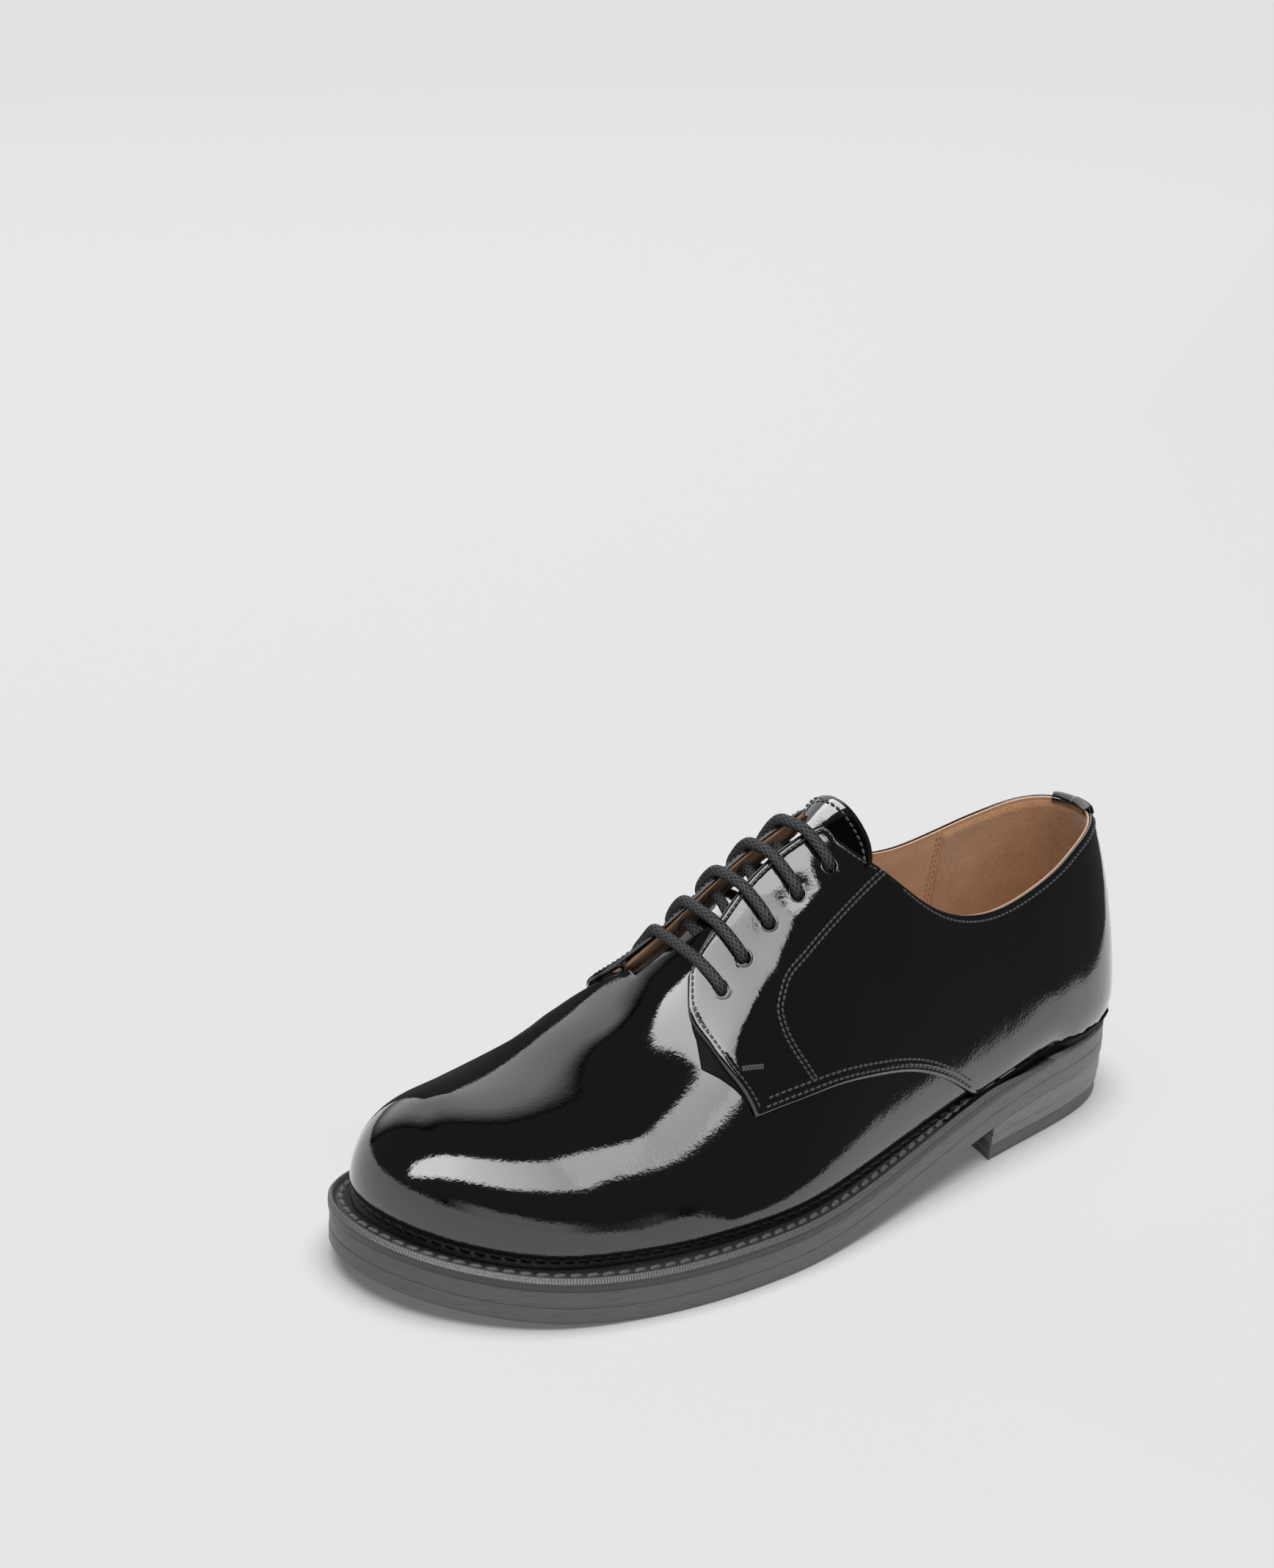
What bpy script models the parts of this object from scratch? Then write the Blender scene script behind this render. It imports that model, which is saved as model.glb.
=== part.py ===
"""Left derby shoe in black patent leather, as an assembly of separate solids.

+X runs to the toe, +Y to the outer side of the foot and +Z up. Sizes are in millimetres and
become metres where a mesh is made. Every piece is worked out from one outline of the sole, one
ridge line over the instep and a few short tables, so a change of a size moves all that depends
on it.
"""

import bmesh
import bpy
import numpy as np
from mathutils import Matrix, Vector

MM = 0.001
GAP = 0.3

# Sole: lengths run from the back of the heel.
SOLE_LENGTH = 289.5
TOE_TIP_Y = -10.0
HEEL_BACK_Y = 1.0
OUTSOLE_THICKNESS = 5.2
MIDSOLE_THICKNESS = 5.2
MIDSOLE_STEP = 0.5
EDGE_CHAMFER = 0.7
HEEL_RISE = 15.0
HEEL_BREAST_X = 75.5
HEEL_BREAST_HOLLOW = 4.0
ARCH_START_X = 38.0
TREAD_START_X = 176.0
TREAD_END_X = 214.0
TOE_SPRING = 6.5
TOP_PIECE_THICKNESS = 5.4
LOWER_LIFT_THICKNESS = 3.3
HEEL_TAPER = 1.2

# Welt: a strip on the midsole round the forefoot, with a raised bead along its outer edge.
WELT_THICKNESS = 3.2
WELT_BEAD_HEIGHT = 1.2
WELT_BEAD_WIDTH = 2.2
WELT_END_X = 46.0
WELT_RISE_LENGTH = 14.0

# Upper: the walls of the vamp, and of the quarters that lie over it.
VAMP_WALL = 2.0
QUARTER_RAISE = 1.3
QUARTER_LINING = 1.0
FEATHER_TUCK = 3.6
FEATHER_TUCK_HEIGHT = 15.0
QUARTER_FRONT_X = 196.0
THROAT_CLOSE = 2.5
INSOLE_THICKNESS = 3.6

# Tongue and laces.
TONGUE_WALL = 2.4
TONGUE_FRONT_X = 214.0
TONGUE_TOP_X = 122.0
TONGUE_TOP_ROUND = 11.0
TONGUE_TOP_LIFT = 3.0
TONGUE_DROP = 4.6
LACE_DIAMETER = 2.8
LACE_BEND = 2.6
LACE_CROWN = 1.6
LACE_EDGE_LIFT = 0.4
LACE_HOLE_DIAMETER = 4.6
LACE_HOLE_COUNT = 5
LACE_HOLE_FRONT_X = 185.0
LACE_HOLE_PITCH_X = 11.2
LACE_HOLE_SET_BACK = 14.5

# Back strap over the heel seam.
STRAP_HALF_WIDTH = 8.0
STRAP_WALL = 1.1

# Grid of the solids.
COLUMNS = 44
VAMP_ROWS = 5
QUARTER_ROWS = 6
PLATE_ROWS = 4

# Sole outline: station from the heel, outer edge, inner edge.
OUTLINE = [
    (4.0, 15.5, -13.5),
    (14.0, 25.5, -22.5),
    (30.0, 32.0, -27.5),
    (50.0, 36.0, -29.0),
    (74.0, 40.0, -28.0),
    (98.0, 44.5, -26.0),
    (122.0, 49.5, -26.5),
    (146.0, 54.5, -31.0),
    (170.0, 58.0, -38.0),
    (192.0, 58.5, -43.5),
    (214.0, 56.5, -47.0),
    (234.0, 52.0, -48.0),
    (254.0, 44.0, -46.0),
    (270.0, 31.5, -41.5),
    (281.0, 17.5, -34.0),
    (287.0, 4.5, -24.5),
]

# Last: station, ridge height, ridge offset to the outer side, width of sole left showing
# outside the wall, roundness of the ridge, fullness of the wall.
LAST = [
    (0.0, 126.0, 1.0, -0.8, 1.8, 1.75),
    (30.0, 128.0, 2.5, 0.2, 1.8, 1.65),
    (60.0, 130.0, 5.0, 1.4, 1.9, 1.50),
    (90.0, 130.0, 6.5, 2.6, 2.0, 1.42),
    (115.0, 127.5, 6.5, 3.4, 2.0, 1.45),
    (137.0, 121.5, 6.0, 4.0, 2.0, 1.50),
    (160.0, 111.5, 5.0, 4.4, 2.0, 1.55),
    (185.0, 94.5, 3.5, 5.0, 2.0, 1.62),
    (205.0, 77.0, 2.0, 5.3, 2.1, 1.75),
    (225.0, 64.5, 0.0, 5.4, 2.2, 1.95),
    (245.0, 58.5, -2.0, 5.4, 2.2, 2.15),
    (262.0, 57.0, -5.0, 5.4, 2.2, 2.30),
    (276.0, 56.0, -7.0, 5.4, 2.2, 2.35),
    (289.5, 52.0, -9.0, 5.4, 2.2, 2.35),
]

# Ridge station that the wall over an outline station leans to, so that walls fan at both ends.
RIDGE_REACH = [
    (0.0, 36.0),
    (20.0, 42.0),
    (50.0, 58.0),
    (80.0, 82.0),
    (110.0, 110.0),
    (170.0, 170.0),
    (205.0, 204.0),
    (230.0, 225.0),
    (255.0, 242.0),
    (275.0, 253.0),
    (289.5, 258.0),
]

# Topline in side view: station, height on the outer side, height on the inner side.
TOPLINE = [
    (-4.0, 98.5, 98.5),
    (6.0, 98.0, 98.0),
    (16.0, 97.5, 97.0),
    (28.0, 95.0, 94.5),
    (45.0, 89.5, 91.0),
    (60.0, 86.0, 89.0),
    (74.0, 84.5, 88.5),
    (88.0, 86.0, 90.5),
    (102.0, 91.5, 96.0),
    (114.0, 100.5, 104.5),
    (122.0, 108.0, 111.0),
    (130.0, 115.0, 117.0),
    (136.0, 121.5, 123.0),
    (144.0, 134.0, 135.0),
]

# Seam where the quarter ends on the vamp, in side view: station, height.
SEAM = [
    (60.0, 5.0),
    (72.0, 17.0),
    (84.0, 28.0),
    (98.0, 39.0),
    (117.0, 49.0),
    (137.0, 54.0),
    (153.0, 56.0),
    (167.0, 55.5),
    (186.0, 54.0),
    (200.0, 53.0),
]

# Front edge of the quarter: fullness up the wall, station ahead of its middle.
QUARTER_FRONT = [
    (0.0, -13.0),
    (0.17, -11.0),
    (0.28, -6.0),
    (0.4, -2.5),
    (0.57, 0.0),
    (0.66, -2.5),
    (0.75, -6.0),
]

# Throat between the facings: station, half of the gap.
THROAT = [
    (110.0, 9.0),
    (130.0, 7.0),
    (150.0, 6.2),
    (165.0, 8.0),
    (177.0, 11.0),
    (186.0, 14.0),
    (193.0, 17.0),
    (205.0, 21.0),
]

# Tongue: station, half width.
TONGUE = [
    (110.0, 25.0),
    (130.0, 27.0),
    (160.0, 29.0),
    (190.0, 30.0),
    (220.0, 26.0),
]

# Colours (linear), roughness and metallic value of each material.
FINISH = {
    "patent_leather": ((0.006, 0.006, 0.007), 0.08, 0.0),
    "tan_leather": ((0.42, 0.22, 0.10), 0.60, 0.0),
    "sole_leather": ((0.012, 0.011, 0.011), 0.45, 0.0),
    "welt_leather": ((0.010, 0.010, 0.010), 0.55, 0.0),
    "top_rubber": ((0.014, 0.014, 0.014), 0.70, 0.0),
    "lace_cord": ((0.008, 0.008, 0.009), 0.60, 0.0),
}


def clear_scene():
    for item in list(bpy.data.objects):
        bpy.data.objects.remove(item, do_unlink=True)


def spline(knots, values, closed_by=None):
    """Cubic spline through a table, level beyond its ends or periodic over closed_by."""
    knots = np.asarray(knots, float)
    values = np.asarray(values, float)
    if closed_by:
        knots = np.concatenate([knots - closed_by, knots, knots + closed_by])
        values = np.concatenate([values, values, values])
    step = np.diff(knots)
    rise = np.diff(values) / step
    count = len(knots)
    system = np.eye(count)
    target = np.zeros(count)
    for i in range(1, count - 1):
        system[i, i - 1 : i + 2] = step[i - 1], 2 * (step[i - 1] + step[i]), step[i]
        target[i] = 6 * (rise[i] - rise[i - 1])
    bend = np.linalg.solve(system, target)

    def at(x):
        x = np.clip(np.asarray(x, float), knots[0], knots[-1])
        i = np.clip(np.searchsorted(knots, x) - 1, 0, count - 2)
        t = x - knots[i]
        slope = rise[i] - step[i] * (2 * bend[i] + bend[i + 1]) / 6
        return values[i] + t * (slope + t * (bend[i] / 2 + t * (bend[i + 1] - bend[i]) / (6 * step[i])))

    return at


def smooth_step(x, start, end):
    t = np.clip((np.asarray(x, float) - start) / (end - start), 0.0, 1.0)
    return t * t * (3 - 2 * t)


def column(table, index):
    return [row[index] for row in table]


def outline_curve():
    """Sole outline as x and y over v: 0 at the heel, 0 to 1 outer side, 1 to 2 inner side."""
    outer = [(0.0, HEEL_BACK_Y)] + [(x, y) for x, y, _ in OUTLINE] + [(SOLE_LENGTH, TOE_TIP_Y)]
    inner = [(0.0, HEEL_BACK_Y)] + [(x, y) for x, _, y in OUTLINE] + [(SOLE_LENGTH, TOE_TIP_Y)]
    places = []
    points = []
    for half, start in ((outer, 0.0), (inner[::-1], 1.0)):
        runs = np.hypot(*np.diff(np.array(half), axis=0).T)
        along = np.concatenate([[0.0], np.cumsum(runs)]) / runs.sum()
        places += list(start + along[:-1])
        points += half[:-1]
    points = np.array(points)
    return spline(places, points[:, 0], 2.0), spline(places, points[:, 1], 2.0)


outline_x, outline_y = outline_curve()
ridge_z = spline(column(LAST, 0), column(LAST, 1))
ridge_y = spline(column(LAST, 0), column(LAST, 2))
wall_inset = spline(column(LAST, 0), column(LAST, 3))
ridge_round = spline(column(LAST, 0), column(LAST, 4))
wall_full = spline(column(LAST, 0), column(LAST, 5))
ridge_reach = spline(column(RIDGE_REACH, 0), column(RIDGE_REACH, 1))
topline_outer = spline(column(TOPLINE, 0), column(TOPLINE, 1))
topline_inner = spline(column(TOPLINE, 0), column(TOPLINE, 2))
seam_height = spline(column(SEAM, 0), column(SEAM, 1))
quarter_front = spline(column(QUARTER_FRONT, 0), column(QUARTER_FRONT, 1))
throat_half = spline(column(THROAT, 0), column(THROAT, 1))
tongue_half = spline(column(TONGUE, 0), column(TONGUE, 1))


def outline_point(v, inset=0.0):
    """Point of the outline moved inwards along its own normal, and that normal."""
    v = np.mod(np.asarray(v, float), 2.0)
    step = 1e-4
    dx = outline_x(v + step) - outline_x(v - step)
    dy = outline_y(v + step) - outline_y(v - step)
    length = np.hypot(dx, dy)
    normal_x = dy / length
    normal_y = -dx / length
    return outline_x(v) + normal_x * inset, outline_y(v) + normal_y * inset, normal_x, normal_y


def sole_bottom(x):
    """Underside of the outsole: heel seat, arch, flat tread and toe spring."""
    rise = HEEL_RISE * smooth_step(x, TREAD_START_X, ARCH_START_X)
    ahead = np.clip((np.asarray(x, float) - TREAD_END_X) / (SOLE_LENGTH - TREAD_END_X), 0.0, None)
    return rise + TOE_SPRING * ahead**2


def outsole_top(x):
    return sole_bottom(x) + OUTSOLE_THICKNESS


def midsole_top(x):
    return outsole_top(x) + GAP + MIDSOLE_THICKNESS


def feather_height(x):
    """Lower edge of the upper: on the welt, and down on the heel seat behind the welt's ends."""
    on_welt = smooth_step(x, WELT_END_X - WELT_RISE_LENGTH, WELT_END_X)
    return midsole_top(x) + GAP + (WELT_THICKNESS + GAP) * on_welt


def mean_station(v):
    """Station half way between the two outline points at v and -v."""
    v = np.asarray(v, float)
    return 0.5 * (outline_x(np.mod(v, 2.0)) + outline_x(np.mod(-v, 2.0)))


def last_point(v, s):
    """Outer face of the vamp: s runs from the feather edge, 0, to the ridge, 1."""
    v = np.asarray(v, float)
    s = np.asarray(s, float)
    pair_x = mean_station(v)
    start_x, start_y, normal_x, normal_y = outline_point(v, wall_inset(pair_x))
    end_x = ridge_reach(pair_x)
    x = start_x + (end_x - start_x) * s
    y = start_y + (ridge_y(end_x) - start_y) * s
    base = feather_height(x)
    rise = (1 - (1 - s) ** ridge_round(x)) ** (1 / wall_full(x))
    z = base + (ridge_z(x) - base) * rise
    tuck = FEATHER_TUCK * np.clip(1 - (z - base) / FEATHER_TUCK_HEIGHT, 0.0, 1.0) ** 3
    return np.stack([x + normal_x * tuck, y + normal_y * tuck, z], axis=-1)


def last_normal(v, s):
    """Outward direction of the last's surface."""
    step = 1e-3
    low = np.clip(np.asarray(s, float) - step, 1e-5, 1 - 2 * step)
    along = last_point(v + step, low + step) - last_point(v - step, low + step)
    up = last_point(v, low + 2 * step) - last_point(v, low)
    normal = np.cross(up, along)
    return normal / np.linalg.norm(normal, axis=-1, keepdims=True)


def on_last(v, s, offset):
    """Point at a distance from the last's surface, never below the feather edge."""
    points = last_point(v, s) + last_normal(v, s) * np.asarray(offset, float)[..., None]
    points[..., 2] = np.maximum(points[..., 2], feather_height(points[..., 0]))
    return points


def station_of(x):
    """Outline parameter, on the outer side, whose pair of points has this mean station."""
    v = np.linspace(0.0, 1.0, 2001)
    return np.interp(x, mean_station(v), v)


def reach_height(v, height_at):
    """Fraction s at which the wall over v first meets a line given as height over station."""
    s = np.linspace(0.0, 1.0, 801)
    found = np.empty(len(v))
    for i, place in enumerate(v):
        points = last_point(np.full_like(s, place), s)
        above = points[:, 2] - height_at(points[:, 0])
        hits = np.nonzero(above >= 0)[0]
        found[i] = s[hits[0]] if len(hits) else 1.0
    return found


def down_wall(v, s, distance):
    """Fraction s that is reached by going a distance down the wall from s."""
    samples = np.linspace(s, 0.0, 301)
    points = last_point(np.full_like(samples, v), samples)
    run = np.concatenate([[0.0], np.cumsum(np.linalg.norm(np.diff(points, axis=0), axis=1))])
    return np.interp(distance, run, samples)


def plan_reach(v):
    """Plan length from the widest line of the wall to the ridge."""
    return np.hypot(*(last_point(v, np.full_like(v, 0.6)) - last_point(v, np.ones_like(v)))[:, :2].T) / 0.4


def material(name):
    colour, roughness, metallic = FINISH[name]
    made = bpy.data.materials.new(name)
    made.use_nodes = True
    shader = made.node_tree.nodes["Principled BSDF"]
    shader.inputs["Base Color"].default_value = (*colour, 1.0)
    shader.inputs["Roughness"].default_value = roughness
    shader.inputs["Metallic"].default_value = metallic
    return made


def solid(name, points, faces, finish, parent):
    """Closed mesh from points in millimetres: doubles merged and normals turned outwards."""
    mesh = bpy.data.meshes.new(name)
    mesh.from_pydata([tuple(p * MM) for p in points], [], faces)
    work = bmesh.new()
    work.from_mesh(mesh)
    bmesh.ops.remove_doubles(work, verts=work.verts, dist=2e-6)
    bmesh.ops.dissolve_degenerate(work, edges=work.edges, dist=1e-6)
    bmesh.ops.triangulate(work, faces=work.faces)
    bmesh.ops.recalc_face_normals(work, faces=work.faces)
    work.to_mesh(mesh)
    work.free()
    mesh.shade_smooth()
    mesh.set_sharp_from_angle(angle=0.7)
    mesh.materials.append(bpy.data.materials.get(finish) or material(finish))
    made = bpy.data.objects.new(name, mesh)
    bpy.context.collection.objects.link(made)
    made.parent = parent
    return made


def grid_faces(rows, columns, start=0, flip=False):
    """Quads of a grid whose points are stored row by row."""
    faces = []
    for i in range(rows - 1):
        for j in range(columns - 1):
            a = start + i * columns + j
            face = (a, a + 1, a + columns + 1, a + columns)
            faces.append(face[::-1] if flip else face)
    return faces


def shell(outer, inner):
    """Points and faces of a wall between two grids of the same size."""
    rows, columns = outer.shape[:2]
    points = np.concatenate([outer.reshape(-1, 3), inner.reshape(-1, 3)])
    half = rows * columns
    faces = grid_faces(rows, columns) + grid_faces(rows, columns, half, True)
    edges = []
    for j in range(columns - 1):
        edges.append((j, j + 1))
        edges.append(((rows - 1) * columns + j, (rows - 1) * columns + j + 1))
    for i in range(rows - 1):
        edges.append((i * columns, (i + 1) * columns))
        edges.append((i * columns + columns - 1, (i + 1) * columns + columns - 1))
    faces += [(a, b, half + b, half + a) for a, b in edges]
    return points, faces


def plate(stations, inset, bottom, top, chamfer=0.0, hollow=0.0):
    """Sole layer over a run of stations: outline, underside and upper side as functions of x."""
    share = np.linspace(0.0, 1.0, PLATE_ROWS + 1)

    def layer(extra, height):
        rows = []
        for v in stations:
            ends = [np.array(outline_point(side, inset + extra)[:2]) for side in (v, -v)]
            line = ends[0] + (ends[1] - ends[0]) * share[:, None]
            near_end = smooth_step(v, stations[0] + 0.5 * (stations[-1] - stations[0]), stations[-1])
            line[:, 0] -= hollow * near_end * (1 - (2 * share - 1) ** 2)
            rows.append(np.column_stack([line, height(line[:, 0])]))
        return np.array(rows)

    return layer(chamfer, bottom), layer(0.0, top), layer(0.0, lambda x: bottom(x) + chamfer)


def sole_layer(name, stations, inset, bottom, top, finish, parent, chamfer=0.0, hollow=0.0):
    """Solid between the two faces of a plate, with its lower edge chamfered."""
    low, high, rim = plate(stations, inset, bottom, top, chamfer, hollow)
    rows, columns = low.shape[:2]
    loop = [(i, 0) for i in range(rows)] + [(rows - 1, j) for j in range(1, columns)]
    loop += [(i, columns - 1) for i in range(rows - 2, -1, -1)]
    loop += [(0, j) for j in range(columns - 2, 0, -1)]
    points = np.concatenate([low.reshape(-1, 3), high.reshape(-1, 3), [rim[i, j] for i, j in loop]])
    half = rows * columns
    faces = grid_faces(rows, columns) + grid_faces(rows, columns, half, True)
    for n, (i, j) in enumerate(loop):
        following = (n + 1) % len(loop)
        k, m = loop[following]
        a, b = i * columns + j, k * columns + m
        c, d = 2 * half + n, 2 * half + following
        faces.append((a, b, d, c))
        faces.append((c, d, half + b, half + a))
    return solid(name, points, faces, finish, parent)


def make_soles(parent):
    whole = np.linspace(0.0, 1.0, COLUMNS + 1)
    sole_layer("outsole", whole, 0.0, sole_bottom, outsole_top, "sole_leather", parent, EDGE_CHAMFER)
    sole_layer(
        "midsole", whole, MIDSOLE_STEP, lambda x: outsole_top(x) + GAP, midsole_top, "sole_leather", parent
    )
    heel = np.linspace(0.0, station_of(HEEL_BREAST_X), 15)
    lower = TOP_PIECE_THICKNESS + GAP
    upper = lower + LOWER_LIFT_THICKNESS + GAP
    layers = (
        ("top_piece", HEEL_TAPER, 0.0, TOP_PIECE_THICKNESS, "top_rubber", EDGE_CHAMFER),
        ("heel_lift_lower", HEEL_TAPER * 0.6, lower, upper - GAP, "sole_leather", 0.0),
    )
    for name, inset, bottom, top, finish, chamfer in layers:
        sole_layer(
            name, heel, inset, lambda x, z=bottom: z + 0 * x, lambda x, z=top: z + 0 * x, finish, parent,
            chamfer, HEEL_BREAST_HOLLOW,
        )
    sole_layer(
        "heel_lift_upper", heel, HEEL_TAPER * 0.3, lambda x: upper + 0 * x, lambda x: sole_bottom(x) - GAP,
        "sole_leather", parent, 0.0, HEEL_BREAST_HOLLOW,
    )


def feather_inset(v):
    return wall_inset(mean_station(v)) + FEATHER_TUCK


def make_welt(parent):
    """Strip round the forefoot: flat seat for the upper, then a bead along the outer edge."""
    first = station_of(WELT_END_X)
    places = np.linspace(first, 2.0 - first, 2 * COLUMNS - 14)
    inner = feather_inset(places) + VAMP_WALL - 0.2
    profile = (
        (inner, 0.0),
        (0.0 * inner, 0.0),
        (0.0 * inner - 0.4, 0.5 * WELT_THICKNESS),
        (0.0 * inner + 0.1, WELT_THICKNESS + 0.6 * WELT_BEAD_HEIGHT),
        (0.0 * inner + 0.5 * WELT_BEAD_WIDTH, WELT_THICKNESS + WELT_BEAD_HEIGHT),
        (0.0 * inner + WELT_BEAD_WIDTH, WELT_THICKNESS),
        (inner, WELT_THICKNESS),
    )
    rings = []
    for inset, lift in profile:
        x, y = outline_point(places, inset)[:2]
        rings.append(np.column_stack([x, y, midsole_top(x) + GAP + lift]))
    rings = np.array(rings)
    rows, columns = rings.shape[:2]
    faces = []
    for i in range(rows):
        for j in range(columns - 1):
            a, b = i * columns + j, (i + 1) % rows * columns + j
            faces.append((a, b, b + 1, a + 1))
    faces.append(tuple(i * columns for i in range(rows)))
    faces.append(tuple(i * columns + columns - 1 for i in reversed(range(rows))))
    return solid("welt", rings.reshape(-1, 3), faces, "welt_leather", parent)


def make_insole(parent):
    whole = np.linspace(0.0, 1.0, COLUMNS + 1)
    clear = VAMP_WALL + 2 * GAP
    share = np.linspace(0.0, 1.0, PLATE_ROWS + 1)
    layers = []
    for lift in (GAP, GAP + INSOLE_THICKNESS):
        rows = []
        for v in whole:
            ends = [np.array(outline_point(side, feather_inset(v) + clear)[:2]) for side in (v, -v)]
            line = ends[0] + (ends[1] - ends[0]) * share[:, None]
            rows.append(np.column_stack([line, midsole_top(line[:, 0]) + lift]))
        layers.append(np.array(rows))
    points, faces = shell(layers[1], layers[0])
    return solid("insole", points, faces, "tan_leather", parent)


def upper_grid():
    """Places (v, s) of the upper's grid, which rows are quarter, and where the throat is shut."""
    front = station_of(QUARTER_FRONT_X)
    behind = np.linspace(0.0, front, int(round(COLUMNS * front)) + 1)
    closing = station_of(QUARTER_FRONT_X + THROAT_CLOSE)
    ahead = np.linspace(closing, 1.0, int(round(COLUMNS * (1 - closing))) + 1)
    sides = []
    for sign, topline in ((1.0, topline_outer), (-1.0, topline_inner)):
        v = sign * np.concatenate([behind, ahead])
        reach = plan_reach(v)
        top = np.minimum(reach_height(v, topline), 1 - throat_half(mean_station(v)) / reach)
        top[len(behind) :] = 1.0
        seam = reach_height(v, seam_height)
        seam = np.minimum(seam, 0.6 * top)
        sides.append((v, seam, top))
    return sides, len(behind)


def upper_rows(v, seam, top, raised_count):
    """Grid of (v, s, raise) for one side, with a doubled row at the seam."""
    low = np.linspace(0.0, 1.0, VAMP_ROWS + 1) ** 2
    high = np.linspace(0.0, 1.0, QUARTER_ROWS + 1)
    s = np.concatenate([seam[:, None] * low, seam[:, None] + (top - seam)[:, None] * high], axis=1)
    lift = np.zeros_like(s)
    lift[:raised_count, VAMP_ROWS + 1 :] = QUARTER_RAISE
    sign = np.sign(v[-1])
    front_x = QUARTER_FRONT_X + quarter_front(s)
    shift = station_of(front_x) - station_of(QUARTER_FRONT_X)
    fade = np.exp(-(((np.arange(len(v)) - raised_count + 0.5) / 3.0) ** 2))
    places = np.abs(v)[:, None] + shift * fade[:, None]
    return sign * np.clip(places, 0.0, 1.0), s, lift


def inner_depth(v):
    """Depth of the lining side below the last's surface."""
    to_vamp = smooth_step(mean_station(v), QUARTER_FRONT_X - 31.0, QUARTER_FRONT_X)
    return QUARTER_LINING + (VAMP_WALL - QUARTER_LINING) * to_vamp


def make_upper(parent):
    """One wall from feather to topline, open at collar, throat and underneath."""
    sides, raised_count = upper_grid()
    outer_sides = []
    inner_sides = []
    for v, seam, top in sides:
        places, s, lift = upper_rows(v, seam, top, raised_count)
        outer_sides.append(on_last(places, s, lift))
        inner_sides.append(on_last(places, s, -inner_depth(places)))
    for pair in (outer_sides, inner_sides):
        pair[1][0] = pair[0][0]
        pair[1][-1] = pair[0][-1]
        middle = 0.5 * (pair[0][raised_count:, -1] + pair[1][raised_count:, -1])
        pair[0][raised_count:, -1] = middle
        pair[1][raised_count:, -1] = middle
    points = []
    faces = []
    for side in (0, 1):
        rows, columns = outer_sides[side].shape[:2]
        start = len(points)
        points += list(outer_sides[side].reshape(-1, 3)) + list(inner_sides[side].reshape(-1, 3))
        half = rows * columns
        faces += grid_faces(rows, columns, start) + grid_faces(rows, columns, start + half, True)
        for i in range(rows - 1):
            a, b = start + i * columns, start + (i + 1) * columns
            faces.append((a, b, half + b, half + a))
            if i < raised_count:
                a, b = a + columns - 1, b + columns - 1
                faces.append((a, b, half + b, half + a))
    return solid("upper", np.array(points), faces, "patent_leather", parent)


def make_tongue(parent):
    """Soft flap under the facings, from under the vamp's edge to a rounded top above the laces."""
    across = np.linspace(-1.0, 1.0, 15)
    middle = len(across) // 2
    top_x = TONGUE_TOP_X + TONGUE_TOP_ROUND * np.abs(across) ** 2.5
    outer = []
    inner = []
    for share in np.linspace(0.0, 1.0, 16):
        x = top_x + (TONGUE_FRONT_X - top_x) * share
        under_vamp = smooth_step(x, QUARTER_FRONT_X - 8.0, TONGUE_FRONT_X - 8.0)
        above_top = smooth_step(x, TONGUE_TOP_X + 16.0, TONGUE_TOP_X)
        drop = TONGUE_DROP + (VAMP_WALL + GAP - TONGUE_DROP) * under_vamp - TONGUE_TOP_LIFT * above_top
        place = station_of(x)
        v = np.where(across < 0, -place, place)
        s = np.array([down_wall(v[i], 1.0, abs(across[i]) * tongue_half(x[i])) for i in range(len(v))])
        for grid, depth in ((outer, drop), (inner, drop + TONGUE_WALL)):
            row = on_last(v, s, -depth)
            row[middle] = 0.5 * (row[middle - 1] + row[middle + 1])
            grid.append(row)
    points, faces = shell(np.array(outer), np.array(inner))
    return solid("tongue", points, faces, "patent_leather", parent)


def facing_place(n, side, distance):
    """Place (v, s) a distance below the facing's edge at lace hole n, counted from the toe."""
    x = LACE_HOLE_FRONT_X - n * LACE_HOLE_PITCH_X
    v = side * station_of(x)
    edge = 1 - throat_half(x) / plan_reach(np.array([v]))[0]
    return v, down_wall(v, edge, distance)


def cut_lace_holes(upper, parent):
    """Row of round holes through both facings."""
    work = bmesh.new()
    for n in range(LACE_HOLE_COUNT):
        for side in (1.0, -1.0):
            v, s = facing_place(n, side, LACE_HOLE_SET_BACK)
            turn = Vector(last_normal(v, s)).to_track_quat("Z", "Y").to_matrix().to_4x4()
            bmesh.ops.create_cone(
                work, cap_ends=True, segments=12, radius1=0.5 * LACE_HOLE_DIAMETER * MM,
                radius2=0.5 * LACE_HOLE_DIAMETER * MM, depth=4 * VAMP_WALL * MM,
                matrix=Matrix.Translation(Vector(last_point(v, s)) * MM) @ turn,
            )
    mesh = bpy.data.meshes.new("lace_hole_cutter")
    work.to_mesh(mesh)
    work.free()
    cutter = bpy.data.objects.new("lace_hole_cutter", mesh)
    bpy.context.collection.objects.link(cutter)
    cutter.parent = parent
    cutter.hide_render = True
    cutter.display_type = "WIRE"
    cut = upper.modifiers.new("lace holes", "BOOLEAN")
    cut.operation = "DIFFERENCE"
    cut.solver = "EXACT"
    cut.object = cutter


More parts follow.
